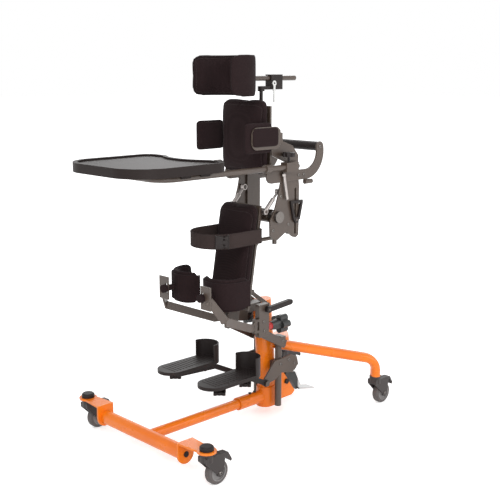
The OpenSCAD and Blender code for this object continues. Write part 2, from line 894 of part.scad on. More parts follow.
module caster_fork() color(black) difference() {
    union() {
        z_rod(0, 0, fork_crown_z, caster_h + stem_len, stem_r);
        z_rod(0, 0, fork_crown_z, caster_h - gap, fork_disc_r);
        translate([-fork_leg_x - fork_leg_t, -fork_crown_fore, fork_crown_z])
            cube([2 * (fork_leg_x + fork_leg_t), fork_crown_fore + caster_trail, fork_crown_h]);
        both() slab(fork_leg_x, fork_leg_t) {
            polygon([[-fork_crown_fore, fork_crown_z + fork_crown_h], [-fork_crown_fore, fork_crown_z],
                     [caster_trail - fork_axle_boss_r, wheel_r], [caster_trail + fork_axle_boss_r, wheel_r],
                     [caster_trail + brake_pivot_back + brake_ear_r, brake_pivot_z],
                     [caster_trail + brake_pivot_back, fork_crown_z + fork_crown_h]]);
            translate([caster_trail, wheel_r]) circle(fork_axle_boss_r);
            translate([caster_trail + brake_pivot_back, brake_pivot_z]) circle(brake_ear_r);
        }
        x_rod(-fork_leg_x - fork_leg_t, fork_leg_x + fork_leg_t, caster_trail, wheel_r, axle_r);
        x_rod(-fork_leg_x - fork_leg_t, fork_leg_x + fork_leg_t,
              caster_trail + brake_pivot_back, brake_pivot_z, brake_pin_r);
    }
    x_rod(-fork_leg_x, fork_leg_x, caster_trail + brake_pivot_back, brake_pivot_z, brake_hub_r + cut);
    x_rod(-fork_leg_x, fork_leg_x, caster_trail, wheel_r, axle_r);
}

module caster_pins() color(silver) {
    x_rod(-fork_leg_x, fork_leg_x, caster_trail, wheel_r, axle_r);
    x_rod(-fork_leg_x, fork_leg_x, caster_trail + brake_pivot_back, brake_pivot_z, brake_pin_r);
}

module caster_fork_whole() {
    caster_fork();
    caster_pins();
}

module wheel_section() difference() {
    union() {
        translate([axle_r + run, -wheel_w / 2])
            square([wheel_r - wheel_round - axle_r - run, wheel_w]);
        translate([axle_r + run, -wheel_w / 2 + wheel_round])
            square([wheel_r - axle_r - run, wheel_w - 2 * wheel_round]);
        for (side = [-1, 1]) translate([wheel_r - wheel_round, side * (wheel_w / 2 - wheel_round)])
            circle(wheel_round);
    }
    for (side = [-1, 1]) translate([fork_axle_boss_r, side * wheel_w / 2 - wheel_dish])
        square([wheel_hub_r - fork_axle_boss_r, 2 * wheel_dish]);
}

module caster_wheel() color("gray") translate([0, caster_trail, wheel_r])
    rotate([0, 90, 0]) rotate_extrude() wheel_section();

module caster_brake() color(black) difference() {
    union() {
        x_rod(-brake_x, brake_x, caster_trail + brake_pivot_back, brake_pivot_z, brake_hub_r);
        slab(-brake_x, 2 * brake_x)
            outline(brake_shares, brake_span, brake_drop, caster_trail + brake_pivot_back, brake_pivot_z);
    }
    x_rod(-brake_x - cut, brake_x + cut, caster_trail + brake_pivot_back, brake_pivot_z, brake_pin_r + run);
}

// Stands a caster under its stem: left or right, front or rear
module at_stem(side, rear)
    translate([side * (rear ? rear_stem_x : front_stem_x), rear ? wheelbase : 0, 0]) children();

// Foot pedal: black arm on its pin, silver plate at the end

module foot_pedal() difference() {
    union() {
        color(black) {
            x_rod(-gusset_x + gap, gusset_x - gap, pedal_y, pedal_z, pedal_hub_r);
            slab(-pedal_arm_half, 2 * pedal_arm_half)
                outline(pedal_arm_shares, pedal_arm_len, pedal_arm_h, pedal_y, pedal_z);
        }
        color(silver) translate([0, pedal_y + pedal_plate_back, pedal_plate_z])
            rotate([-asin(pedal_plate_drop / pedal_plate_len), 0, 0])
                translate([-pedal_plate_half, 0, -pedal_plate_t / 2])
                    cube([2 * pedal_plate_half, pedal_plate_len, pedal_plate_t]);
    }
    x_rod(-gusset_x, gusset_x, pedal_y, pedal_z, pedal_pin_r + run);
}

// Leg supports, drawn for the left side

module slope_bar() translate([bar_x, bar_front_y, bar_front_z]) rotate([-slope_bar_angle, 0, 0])
    translate([0, 0, -slope_bar_h / 2]) cube([slope_bar_t, slope_bar_len, slope_bar_h]);

module knee_post() color(dark) difference() {
    union() {
        z_rod(post_x, post_y, post_z, post_top, post_r);
        translate([post_x - post_r, post_y - post_block_w / 2, post_top - post_block_h / 2])
            cube([bar_x + slope_bar_t - post_x + post_r, post_block_w, post_block_h]);
        slope_bar();
        translate([clamp_x, clamp_y, clamp_z]) cube([clamp_t, clamp_d, clamp_h]);
        for (ear = [0, 1]) translate([0, 0, swing_z - swing_h / 2 + ear * (swing_h - swing_ear_h)]) {
            z_rod(swing_x, swing_y, 0, swing_ear_h, swing_ear_r);
            translate([swing_x - swing_ear_r, swing_y, 0])
                cube([2 * swing_ear_r, clamp_y - swing_y, swing_ear_h]);
        }
        z_rod(swing_x, swing_y, swing_z - swing_h / 2, swing_z + swing_h / 2, swing_pin_r);
        x_rod(clamp_face_x, clamp_face_x + lever_hub_t + gap, lever_y, lever_z, lever_pin_r);
    }
    y_rod(knob_x, knob_y - knob_stud_len, knob_y + cut, knob_z, knob_stud_r + run);
}

module knee_knob() {
    color("firebrick") y_rod(knob_x, knob_y + gap, knob_y + knob_collar_len, knob_z, knob_collar_r);
    color(black) {
        y_rod(knob_x, knob_y - knob_stud_len + gap, knob_y + knob_collar_len, knob_z, knob_stud_r);
        translate([knob_x, knob_y + knob_collar_len, knob_z]) rotate([-90, 0, 0]) {
            cylinder(h = knob_cone_len, r1 = knob_neck_r, r2 = knob_lobe_pcd_r);
            translate([0, 0, knob_cone_len]) linear_extrude(knob_lobe_len)
                lobed(knob_lobes, knob_core_r, knob_lobe_pcd_r, knob_lobe_r);
        }
    }
}

module knee_arm() color(dark) difference() {
    union() {
        z_rod(swing_x, swing_y, swing_z - swing_h / 2 + swing_ear_h + gap,
              swing_z + swing_h / 2 - swing_ear_h - gap, swing_ear_r);
        strip([swing_x, swing_y, swing_z], [swing_x, swing_y, swing_z] + strip_lead);
        strip([swing_x, swing_y, swing_z] + strip_lead, strip_bend);
        strip(strip_bend, strip_front);
        for (p = [[swing_x, swing_y, swing_z] + strip_lead, strip_bend])
            z_rod(p[0], p[1], p[2] - strip_h / 2 - gap, p[2] + strip_h / 2 + gap, strip_t / 2 + gap);
        translate([slotted_x - slotted_w / 2, slotted_y, knee_z - slotted_h / 2])
            cube([strip_front[0] - slotted_x + slotted_w, slotted_t, slotted_h]);
    }
    z_rod(swing_x, swing_y, swing_z - swing_h, swing_z + swing_h, swing_pin_r + run);
    translate([slotted_x, slotted_y + slotted_t + cut, knee_z]) rotate([90, 0, 0])
        linear_extrude(slotted_t + 2 * cut) flat_oval(2 * (pad_stud_r + gap), pad_slot_len);
}

module knee_lever() color(black) difference() {
    union() {
        x_rod(clamp_face_x + gap, clamp_face_x + lever_hub_t, lever_y, lever_z, lever_hub_r);
        slab(clamp_face_x + gap, lever_hub_t - gap) {
            polygon([[lever_y, lever_z - lever_w / 2],
                     [lever_y + lever_len, lever_z + lever_rise - lever_w / 2],
                     [lever_y + lever_len, lever_z + lever_rise + lever_w / 2],
                     [lever_y, lever_z + lever_w / 2]]);
            translate([lever_y + lever_len, lever_z + lever_rise]) circle(lever_w / 2);
        }
    }
    x_rod(clamp_face_x, clamp_face_x + lever_hub_t + cut, lever_y, lever_z, lever_pin_r + run);
}

// Plastic shell round the knee, with the boss, stud and knob that hold it on the slot
module knee_shell() color(black) {
    translate([knee_x, knee_y, knee_z - knee_shell_h / 2]) {
        rotate([0, 0, knee_arc_start]) rotate_extrude(angle = -knee_arc_start)
            translate([knee_shell_r, 0]) square([knee_shell_t, knee_shell_h]);
        translate([knee_shell_r + gap, -cut, gap])
            cube([knee_shell_t - 2 * gap, knee_wing + cut, knee_shell_h - 2 * gap]);
    }
    difference() {
        y_rod(slotted_x, slotted_y + slotted_t + gap, knee_y, knee_z, knee_boss_r);
        z_rod(knee_x, knee_y, knee_z - knee_shell_h, knee_z + knee_shell_h, knee_shell_r + knee_shell_t / 2);
    }
    y_rod(slotted_x, slotted_y - pad_knob_len, slotted_y + slotted_t + knee_boss_r, knee_z, pad_stud_r);
    y_rod(slotted_x, slotted_y - gap - pad_knob_len, slotted_y - gap, knee_z, pad_knob_r);
}

module knee_pad() color(black) translate([0, 0, knee_z])
    soft_form(wrap_stations([knee_x, knee_y], knee_pad_r, knee_arc_start, 0, 0, knee_wing),
              knee_pad_h, knee_pad_front, knee_pad_back, true);

// Foot supports, drawn for the left side

module foot_arm() color(black) difference() {
    union() {
        x_rod(foot_bar_x, foot_bar_x + foot_bar_t, foot_pin_y, foot_pin_z, foot_knuckle_r);
        slab(foot_bar_x, foot_bar_t) polygon([
            [foot_pin_y, foot_pin_z - foot_bar_h / 2], [foot_pin_y, foot_pin_z + foot_bar_h / 2],
            [foot_rest_front + foot_rest_len, foot_rest_z], [foot_bar_end_y, foot_rest_z],
            [foot_bar_end_y, foot_rest_z - foot_bar_h / 2],
            [foot_rest_front + foot_rest_len, foot_rest_z - foot_bar_h]]);
        translate([foot_bar_x, foot_rest_front, foot_rest_z])
            cube([foot_stud_x + foot_rest_w / 2 - foot_bar_x, foot_rest_len, foot_rest_t]);
    }
    x_rod(link_x, foot_bar_x + foot_bar_t + cut, foot_pin_y, foot_pin_z, foot_pin_r + run);
    for (i = [0, 1]) translate([foot_stud_x, foot_stud_first + i * foot_stud_step, foot_rest_z - cut])
        linear_extrude(foot_rest_t + 2 * cut) flat_oval(2 * (foot_stud_r + foot_stud_slack), foot_slot_len);
}

module wing_knob() linear_extrude(wing_h) lobed(wing_count, wing_r, wing_reach - wing_tip_r, wing_tip_r);

module foot_plate() color(black) {
    translate([foot_x, 0, foot_z - foot_t]) linear_extrude(foot_t) {
        translate([-foot_w / 2, heel_y - foot_len + foot_w / 2]) square([foot_w, foot_len - foot_w]);
        for (y = [heel_y - foot_len + foot_w / 2, heel_centre_y]) translate([0, y]) circle(foot_w / 2);
    }
    translate([foot_x, heel_centre_y, foot_z]) rotate_extrude(angle = 180)
        translate([foot_w / 2 - heel_wall, 0]) square([heel_wall, heel_h]);
    for (i = [0, 1]) translate([foot_stud_x, foot_stud_first + i * foot_stud_step, 0]) {
        z_rod(0, 0, foot_rest_z - wing_drop, foot_z - foot_t, foot_stud_r);
        translate([0, 0, foot_rest_z - wing_drop]) wing_knob();
        z_rod(0, 0, foot_rest_z - wing_drop + wing_h, foot_rest_z - gap, wing_tip_r + foot_stud_slack);
    }
}

// Leg pad, its board and the hip belt

module on_leg_pad() translate([0, leg_pad_y, leg_pad_z]) rotate([-leg_pad_lean, 0, 0]) children();

module leg_pad_board() color(dark) difference() {
    leg_pad_carrier();
    on_leg_pad() translate([-column_half + mast_wall, board_t + mast_wall, -column_drop - cut])
        cube([2 * (column_half - mast_wall), column_d - 2 * mast_wall,
              column_drop + cut + column_top - 2 * head_tube_r]);
    x_rod(-head_tube_half - cut, head_tube_half + cut, hip_y, hip_z, shaft_d / 2 + run);
}

// Board, the column behind it with the hip tube, and what ties them to the mast
module leg_pad_carrier() {
    on_leg_pad() translate([-board_w / 2, 0, 0]) cube([board_w, board_t, leg_pad_h]);
    on_leg_pad() translate([-column_half, board_t - cut, -column_drop])
        cube([2 * column_half, column_d + cut, column_drop + column_top]);
    x_rod(-head_tube_half, head_tube_half, hip_y, hip_z, head_tube_r);
    translate([cut - column_half, neck_from, hip_z - head_tube_r / 2])
        cube([2 * (column_half - cut), hip_y - neck_from, head_tube_r / 4]);
    on_leg_pad() translate([-yoke_half, board_t - cut, yoke_from])
        cube([2 * yoke_half, yoke_t + cut, yoke_to - yoke_from]);
    difference() {
        translate([-tie_half, board_y(tie_z) + board_t + column_d / 2, tie_z - tie_h / 2])
            cube([2 * tie_half, mast_axis_y(tie_z) - board_y(tie_z) - board_t - column_d / 2, tie_h]);
        mast_solid();
    }
    both() slab(brace_x, brace_t) {
        polygon([[board_y(brace_z) + board_t / 2, brace_z - brace_r],
                 [board_y(brace_z) + board_t / 2, brace_z + brace_r],
                 [mast_axis_y(brace_mast_z), brace_mast_z + brace_r],
                 [mast_axis_y(brace_mast_z), brace_mast_z - brace_r]]);
        translate([mast_axis_y(brace_mast_z), brace_mast_z]) circle(brace_r);
    }
    both() {
        y_rod(stub_x, board_y(stub_z) + board_t / 2, board_y(stub_z) + stub_len, stub_z, stub_r);
        z_rod(stub_x, board_y(stub_z) + stub_len, stub_z - stub_tail, stub_z + stub_r + cut, stub_r + cut);
        translate([stub_x - stub_r, strut_foot_from, strut_low[1] - stub_r])
            cube([2 * stub_r, strut_foot_to - strut_foot_from, 2 * stub_r]);
        x_rod(stub_x, strut_x + strut_half + gap, strut_low[0], strut_low[1], strut_pin_r);
    }
}

module leg_pad() color(black) on_leg_pad() translate([0, -leg_pad_t / 2 - gap, leg_pad_h / 2])
    soft_form(flat_stations(leg_pad_w), leg_pad_h, leg_pad_t / 2, leg_pad_t / 2, false);

// Outline of the belt loop, or of the space inside it
module belt_outline(inset) {
    r = belt_half - inset;
    translate([0, belt_front + belt_half]) circle(r);
    translate([-r, belt_front + belt_half]) square([2 * r, belt_back - belt_front - belt_half - belt_back_r]);
    for (side = [-1, 1]) translate([side * (belt_half - belt_back_r), belt_back - belt_back_r])
        circle(belt_back_r - inset);
    translate([-belt_half + belt_back_r, belt_front + belt_half])
        square([2 * (belt_half - belt_back_r), belt_back - belt_front - belt_half - inset]);
}

module hip_belt() color(black) {
    difference() {
        translate([0, 0, belt_z]) linear_extrude(belt_h) difference() {
            belt_outline(0);
            belt_outline(belt_t);
        }
        translate([-stub_x - stub_r - cut, belt_back - belt_back_r, belt_z - cut])
            cube([2 * (stub_x + stub_r + cut), belt_back_r + cut, belt_h + 2 * cut]);
    }
    translate([0, belt_front + belt_half, belt_z + belt_h / 2]) rotate([0, 0, buckle_turn]) difference() {
        translate([-buckle_len / 2, -belt_half - buckle_t, -buckle_h / 2])
            cube([buckle_len, 2 * buckle_t, buckle_h]);
        cylinder(h = belt_h, r = belt_half - belt_t / 2, center = true);
    }
}

// Upper body support

module hip_plates() color(dark) both() {
    slab(hip_x, hip_t) difference() {
        union() {
            outline(hip_shares, hip_plate_w, hip_plate_h, hip_y - hip_fore, hip_z - hip_below);
            translate([hip_y - nose_fore, hip_z + nose_up]) circle(nose_r);
            translate([hip_y - nose_fore, hip_z + nose_up - nose_r + gap])
                square([nose_fore + nose_back, 2 * (nose_r - gap)]);
        }
        translate([hip_y, hip_z]) circle(shaft_d / 2 + run);
        translate([slot_y, slot_z]) flat_oval(slot_w, slot_len);
    }
    x_rod(strut_x - strut_half, hip_x, strut_high[0], strut_high[1], strut_top_pin_r);
}

module handle_brackets() both() {
    color(dark) slab(handle_x, handle_t) {
        translate([handle_y, handle_z]) {
            intersection() {
                difference() {
                    circle(handle_r + handle_w / 2);
                    circle(handle_r - handle_w / 2);
                }
                polygon([[0, 0], [0, -2 * handle_r], [2 * handle_r, -2 * handle_r],
                         [2 * handle_r, 2 * handle_r * tan(handle_up)]]);
            }
            rotate(handle_up) translate([handle_r, 0]) circle(handle_w / 2 - gap);
            translate([-handle_tail, -handle_r - handle_w / 2 + gap])
                square([handle_tail + cut, handle_w - 2 * gap]);
        }
    }
    color(dark) y_rod(handle_x + peg_r, handle_y - peg_r, handle_y - peg_r + peg_len,
                      handle_z - handle_r - handle_w / 2 - peg_r, peg_r - gap);
    color(dark)
        translate([handle_x + cut, handle_y - peg_r + cut, handle_z - handle_r - handle_w / 2 - peg_r])
            cube([handle_t - 2 * cut, peg_len / 2, 2 * peg_r]);
    color(black) difference() {
        translate([handle_x + gap, tray_clamp_y, tail_top - cut])
            cube([tray_clamp_out - handle_x - gap, tray_clamp_len, tray_clamp_h + cut]);
        y_rod(rail_x, tray_clamp_y - cut, tray_clamp_y + tray_clamp_len + cut, rail_z, rail_r + run);
        z_rod(rail_x, tray_clamp_y + star_in, rail_z, tail_top + tray_clamp_h + cut, star_stud_r);
    }
}

module push_grip() color(black) x_rod(-handle_x, handle_x, grip_y, grip_z, grip_d / 2);

module tray_knobs() color(black) both() translate([rail_x, tray_clamp_y + star_in, 0]) {
    z_rod(0, 0, rail_z + rail_r + gap, tail_top + tray_clamp_h + star_stud_len, star_stud_r);
    translate([0, 0, tail_top + tray_clamp_h + star_stud_len]) {
        linear_extrude(star_h) lobed(star_lobes, star_core_r, star_r, star_lobe_r);
    }
}

// Telescopic struts, drawn along the line between their two pins
module along_strut() translate([0, strut_low[0], strut_low[1]]) rotate([strut_angle, 0, 0]) children();

module strut_barrels() color(silver) both() difference() {
    union() {
        x_rod(strut_x - strut_half, strut_x + strut_half, strut_low[0], strut_low[1], strut_eye_r);
        along_strut()
            y_rod(strut_x, strut_pin_r + tube_wall, strut_span * strut_barrel_share, 0, strut_barrel_r);
    }
    x_rod(0, strut_x + strut_half + cut, strut_low[0], strut_low[1], strut_pin_r + run);
    along_strut() y_rod(strut_x, strut_eye_r + tube_wall, strut_span, 0, strut_rod_r + run);
}

module strut_rods() color(silver) both() difference() {
    union() {
        x_rod(strut_x - strut_half, strut_x + strut_half, strut_high[0], strut_high[1], strut_eye_r);
        along_strut() y_rod(strut_x, strut_span * (strut_barrel_share - strut_rod_back_share),
                            strut_span - strut_top_pin_r - strut_top_slack - cut, 0, strut_rod_r);
    }
    x_rod(0, strut_x + strut_half + cut, strut_high[0], strut_high[1], strut_top_pin_r + strut_top_slack);
}

module cam_lever() color(black) difference() {
    union() {
        x_rod(cam_x, cam_x + cam_t, slot_y, cam_z, cam_hub_r);
        slab(cam_x, cam_t) {
            for (side = [-1, 1]) polygon([
                [slot_y + side * cam_hub_r - cam_arm_w / 2, cam_z],
                [slot_y + side * cam_hub_r + cam_arm_w / 2, cam_z],
                [slot_y + side * cam_spread + cam_arm_w / 2, cam_z + cam_reach],
                [slot_y + side * cam_spread - cam_arm_w / 2, cam_z + cam_reach]]);
            translate([slot_y - cam_spread - cam_arm_w / 2, cam_z + cam_reach])
                square([2 * cam_spread + cam_arm_w, cam_arm_w]);
        }
    }
    x_rod(cam_x - cut, cam_x + cam_t + cut, slot_y, cam_z, cam_stud_r + run);
}

module trunk_board() color(dark) {
    difference() {
        union() {
            translate([-trunk_board_w / 2, trunk_y, trunk_bottom])
                cube([trunk_board_w, trunk_board_t, trunk_board_h]);
            both() slab(side_x, side_t) outline(side_shares, side_len, side_h, trunk_y, side_z);
            translate([-socket_r, trunk_y, socket_z]) cube([2 * socket_r, socket_y - trunk_y, socket_h]);
            z_rod(0, socket_y, socket_z, socket_z + socket_h, socket_r);
        }
        z_rod(0, socket_y, socket_z - cut, socket_z + socket_h + cut, stem_rod_r + run);
    }
    both() {
        x_rod(side_x + side_t, cam_x + cam_t + gap, slot_y, cam_z, cam_stud_r);
        for (ear = [0, 1]) translate([0, 0, ear_z - ear_h / 2 + ear * (ear_h - ear_t)]) {
            z_rod(ear_x, ear_y, 0, ear_t, ear_r);
            translate([trunk_board_w / 2, trunk_y, 0])
                cube([ear_x - trunk_board_w / 2, trunk_board_t, ear_t]);
        }
        z_rod(ear_x, ear_y, ear_z - ear_h / 2, ear_z + ear_h / 2, ear_pin_r);
    }
}

module trunk_pad() color(black)
    translate([0, trunk_y - trunk_pad_t / 2 - gap, trunk_bottom + trunk_pad_h / 2])
        soft_form(flat_stations(trunk_pad_w), trunk_pad_h, trunk_pad_t / 2, trunk_pad_t / 2, false);

// Lateral support, drawn for the left side
module lateral_arm() color(dark) difference() {
    union() {
        z_rod(ear_x, ear_y, ear_z - ear_h / 2 + ear_t + gap, ear_z + ear_h / 2 - ear_t - gap, ear_r);
        translate([ear_x, ear_y - ear_r, ear_z - ear_h / 2 + ear_t + gap])
            cube([lateral_plate_x + lateral_plate_t - ear_x, 2 * ear_r, ear_h - 2 * ear_t - 2 * gap]);
        slab(lateral_plate_x, lateral_plate_t) translate([ear_y - lateral_plate_len / 2, ear_z]) {
            square([lateral_plate_len, lateral_plate_h - 2 * lateral_plate_r], center = true);
            square([lateral_plate_len - 2 * lateral_plate_r, lateral_plate_h], center = true);
            for (sy = [-1, 1]) for (sz = [-1, 1])
                translate([sy * (lateral_plate_len / 2 - lateral_plate_r),
                           sz * (lateral_plate_h / 2 - lateral_plate_r)]) circle(lateral_plate_r);
        }
    }
    z_rod(ear_x, ear_y, ear_z - ear_h, ear_z + ear_h, ear_pin_r + run);
}

module lateral_pad() color(black) translate([lateral_plate_x - gap - lateral_pad_t / 2, lateral_pad_y, ear_z])
    rotate([0, 0, -90])
        soft_form(flat_stations(lateral_len), lateral_h, lateral_pad_t / 2, lateral_pad_t / 2, false);

// Tray and rails

module tray_outline(inset) {
    w = tray_w - 2 * inset;
    d = tray_d - 2 * inset;
    r = tray_r - inset;
    b = tray_back_r - inset;
    translate([-w / 2, r - d / 2]) square([w, d - r - b]);
    translate([r - w / 2, -d / 2]) square([w - 2 * r, d / 2]);
    translate([b - w / 2, 0]) square([w - 2 * b, d / 2]);
    for (sx = [-1, 1]) {
        translate([sx * (w / 2 - r), r - d / 2]) circle(r);
        translate([sx * (w / 2 - b), d / 2 - b]) circle(b);
    }
}

module belly_cut(inset)
    translate([0, tray_d / 2 - tray_belly_in + tray_belly_r]) circle(tray_belly_r + inset);

module tray() color("dimgray") difference() {
    union() {
        translate([0, tray_y, tray_top - tray_h]) linear_extrude(tray_h) difference() {
            tray_outline(0);
            belly_cut(0);
        }
        both() for (share = saddle_shares)
            translate([rail_x - saddle_w / 2, tray_y + share * tray_d - saddle_len / 2, rail_z])
                cube([saddle_w, saddle_len, tray_top - tray_h - rail_z]);
    }
    translate([0, tray_y, tray_top - tray_recess]) linear_extrude(tray_recess + cut) difference() {
        tray_outline(tray_rim);
        belly_cut(tray_rim);
    }
    both() y_rod(rail_x, tray_y - tray_d, tray_y + tray_d, rail_z, rail_r);
}

module tray_rails() color(dark) {
    both() {
        y_rod(rail_x, rail_front + rail_bend, rail_back, rail_z, rail_r);
        translate([rail_x - rail_bend, rail_front + rail_bend, rail_z]) rotate([0, 0, -90])
            rotate_extrude(angle = 90) translate([rail_bend, 0]) circle(rail_r);
        y_rod(rail_x, stop_y - stop_len / 2, stop_y + stop_len / 2, rail_z, stop_r);
    }
    x_rod(-rail_x + rail_bend, rail_x - rail_bend, rail_front, rail_z, rail_r);
}

// Headrest

module head_clamp() color(black) difference() {
    union() {
        z_rod(0, socket_y, socket_z - socket_h / 2, head_clamp_z, stem_rod_r);
        z_rod(0, socket_y, head_clamp_z - socket_r / 2, head_clamp_z + socket_r, socket_r);
        translate([-socket_r, socket_y, head_clamp_z])
            cube([2 * socket_r, head_clamp_y - socket_y + socket_r, socket_r]);
        translate([-head_clamp_half, head_clamp_y, head_clamp_z])
            cube([2 * head_clamp_half, head_clamp_len, head_clamp_h]);
        x_rod(head_clamp_half, head_clamp_half + head_lever_t + gap, head_lever_y,
              head_rod_z - 2 * head_rod_r, head_lever_pin_r);
    }
    y_rod(0, socket_y, head_clamp_y + head_clamp_len + cut, head_rod_z, head_rod_r + run);
}

module head_rod() color(dark) {
    y_rod(0, head_back_y + gap + head_disc_t, head_back_y + gap + head_rod_len, head_rod_z, head_rod_r);
    y_rod(0, head_back_y + gap, head_back_y + gap + head_disc_t, head_rod_z, head_disc_r);
}

module head_pad() color(black) translate([0, 0, head_pad_z])
    soft_form(wrap_stations([0, head_y], head_r, 180, 0, head_wing, head_wing),
              head_h, head_pad_front, head_pad_back, false);

module head_lever() color(silver) difference() {
    slab(head_clamp_half + gap, head_lever_t - gap) {
        translate([head_lever_y, head_rod_z - 2 * head_rod_r]) circle(head_lever_w);
        translate([head_lever_y - head_lever_w / 2, head_rod_z - 2 * head_rod_r - head_lever_len])
            square([head_lever_w, head_lever_len]);
    }
    x_rod(head_clamp_half, head_clamp_half + head_lever_t + cut, head_lever_y,
          head_rod_z - 2 * head_rod_r, head_lever_pin_r + run);
}

placed() front_crossbar();
placed() front_brackets();
placed() base_fasteners();
placed() spine_tube();
placed() tower();
placed() rear_legs();
placed() leg_brackets();
placed() hip_shaft();
placed() leg_pad_board();
placed() leg_pad();
placed() hip_belt();
placed() at_stem(1, false) caster_fork_whole();  // caster_fork_front_left
placed() at_stem(-1, false) caster_fork_whole();  // caster_fork_front_right
placed() at_stem(1, true) caster_fork_whole();  // caster_fork_rear_left
placed() at_stem(-1, true) caster_fork_whole();  // caster_fork_rear_right
placed() at_stem(1, false) caster_wheel();  // caster_wheel_front_left
placed() at_stem(-1, false) caster_wheel();  // caster_wheel_front_right
placed() at_stem(1, true) caster_wheel();  // caster_wheel_rear_left
placed() at_stem(-1, true) caster_wheel();  // caster_wheel_rear_right
placed() at_stem(1, false) caster_brake();  // caster_brake_front_left
placed() at_stem(-1, false) caster_brake();  // caster_brake_front_right
placed() at_stem(1, true) caster_brake();  // caster_brake_rear_left
placed() at_stem(-1, true) caster_brake();  // caster_brake_rear_right
placed() foot_pedal();
placed() on_side(1) knee_post();  // knee_post_left
placed() on_side(-1) knee_post();  // knee_post_right
placed() on_side(1) knee_knob();  // knee_knob_left
placed() on_side(-1) knee_knob();  // knee_knob_right
placed() on_side(1) knee_arm();  // knee_arm_left
placed() on_side(-1) knee_arm();  // knee_arm_right
placed() on_side(1) knee_lever();  // knee_lever_left
placed() on_side(-1) knee_lever();  // knee_lever_right
placed() on_side(1) knee_shell();  // knee_shell_left
placed() on_side(-1) knee_shell();  // knee_shell_right
placed() on_side(1) knee_pad();  // knee_pad_left
placed() on_side(-1) knee_pad();  // knee_pad_right
placed() on_side(1) foot_arm();  // foot_arm_left
placed() on_side(-1) foot_arm();  // foot_arm_right
placed() on_side(1) foot_plate();  // foot_plate_left
placed() on_side(-1) foot_plate();  // foot_plate_right
placed() hip_plates();
placed() handle_brackets();
placed() push_grip();
placed() tray_knobs();
placed() strut_barrels();
placed() strut_rods();
placed() trunk_board();
placed() trunk_pad();
placed() on_side(1) cam_lever();  // cam_lever_left
placed() on_side(-1) cam_lever();  // cam_lever_right
placed() on_side(1) lateral_arm();  // lateral_arm_left
placed() on_side(-1) lateral_arm();  // lateral_arm_right
placed() on_side(1) lateral_pad();  // lateral_pad_left
placed() on_side(-1) lateral_pad();  // lateral_pad_right
placed() tray();
placed() tray_rails();
placed() head_clamp();
placed() head_rod();
placed() head_pad();
placed() head_lever();
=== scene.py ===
# %% [markdown]
# # A paediatric standing frame
# The frame supports an upright posture: an orange wheeled base, a leaning mast, and
# dark metal carriers with black pads for knees, hips, trunk and head.
# The CAD model already has every rigid part in its place, so this lesson dresses it:
# it gives each finish its own material, makes the pads and the belt as soft goods,
# and adds the small hardware that repeats.

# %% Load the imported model
import json
import math

import bmesh
import bpy
from mathutils import Matrix, Vector
from mathutils.bvhtree import BVHTree


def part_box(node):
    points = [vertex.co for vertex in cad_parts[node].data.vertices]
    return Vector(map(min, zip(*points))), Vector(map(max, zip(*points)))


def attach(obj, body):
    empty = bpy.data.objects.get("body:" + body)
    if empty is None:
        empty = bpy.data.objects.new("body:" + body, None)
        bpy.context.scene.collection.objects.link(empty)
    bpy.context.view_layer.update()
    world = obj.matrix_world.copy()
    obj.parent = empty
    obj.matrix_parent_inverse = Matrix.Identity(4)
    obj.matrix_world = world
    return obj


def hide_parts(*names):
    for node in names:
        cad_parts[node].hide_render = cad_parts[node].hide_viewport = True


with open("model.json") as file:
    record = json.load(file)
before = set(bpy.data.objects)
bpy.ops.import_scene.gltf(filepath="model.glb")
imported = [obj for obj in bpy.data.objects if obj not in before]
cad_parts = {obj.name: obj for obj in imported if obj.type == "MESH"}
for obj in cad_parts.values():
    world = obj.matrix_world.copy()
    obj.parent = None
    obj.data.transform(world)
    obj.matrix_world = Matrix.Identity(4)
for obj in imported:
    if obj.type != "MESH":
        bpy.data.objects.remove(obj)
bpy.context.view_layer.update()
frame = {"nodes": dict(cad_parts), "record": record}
nodes = frame["nodes"]
bar_low, bar_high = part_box("front_crossbar")
STEM_Y = (bar_low[1] + bar_high[1]) / 2
MM = 0.001


def at(x, y, z):
    """A point in mm, counted from the middle between the front stems on the floor, in the model's metres."""
    return Vector((x * MM, y * MM + STEM_Y, z * MM))


# %% [markdown]
# ## Camera
# The photograph looks down a little on the frame from its front left corner.
# A long lens far away keeps the uprights nearly parallel, as they are there.
# Position and tilt were solved from the casters, the tray and the mast.

# %% Camera
PHOTO_WIDTH = 500
FOCAL_PX = 900
LOOK_DOWN, LOOK_ROUND = 11.48, 45.75
camera_data = bpy.data.cameras.new("camera")
camera_data.sensor_fit = "HORIZONTAL"
camera_data.lens = camera_data.sensor_width * FOCAL_PX / PHOTO_WIDTH
camera = bpy.data.objects.new("camera", camera_data)
camera.location = at(2104.87, -1589.53, 1186.88)
camera.rotation_euler = (math.radians(90 - LOOK_DOWN), 0, math.radians(LOOK_ROUND))
bpy.context.scene.collection.objects.link(camera)
bpy.context.scene.camera = camera
print("lens", round(camera_data.lens, 1))

# %% [markdown]
# ## Building a finish
# Every finish starts from the Principled shader. A few helpers add nodes to it, so
# that each material below reads as a short list: colour, roughness and relief.
# All patterns use Object coordinates, because every piece has its place in its mesh.

# %% Helpers for materials


def add(tree, kind, inputs=None, **settings):
    """Adds a node, sets its properties and fills or links its inputs."""
    item = tree.nodes.new(kind)
    for key, value in settings.items():
        setattr(item, key, value)
    for key, value in (inputs or {}).items():
        if isinstance(value, bpy.types.NodeSocket):
            tree.links.new(value, item.inputs[key])
        else:
            item.inputs[key].default_value = value
    return item


def start_finish(name, roughness, metallic=0.0, specular=0.5):
    finish = bpy.data.materials.new(name)
    finish.use_nodes = True
    tree = finish.node_tree
    shader = tree.nodes["Principled BSDF"]
    shader.inputs["Roughness"].default_value = roughness
    shader.inputs["Metallic"].default_value = metallic
    shader.inputs["Specular IOR Level"].default_value = specular
    place = add(tree, "ShaderNodeTexCoord").outputs["Object"]
    return finish, tree, shader, place


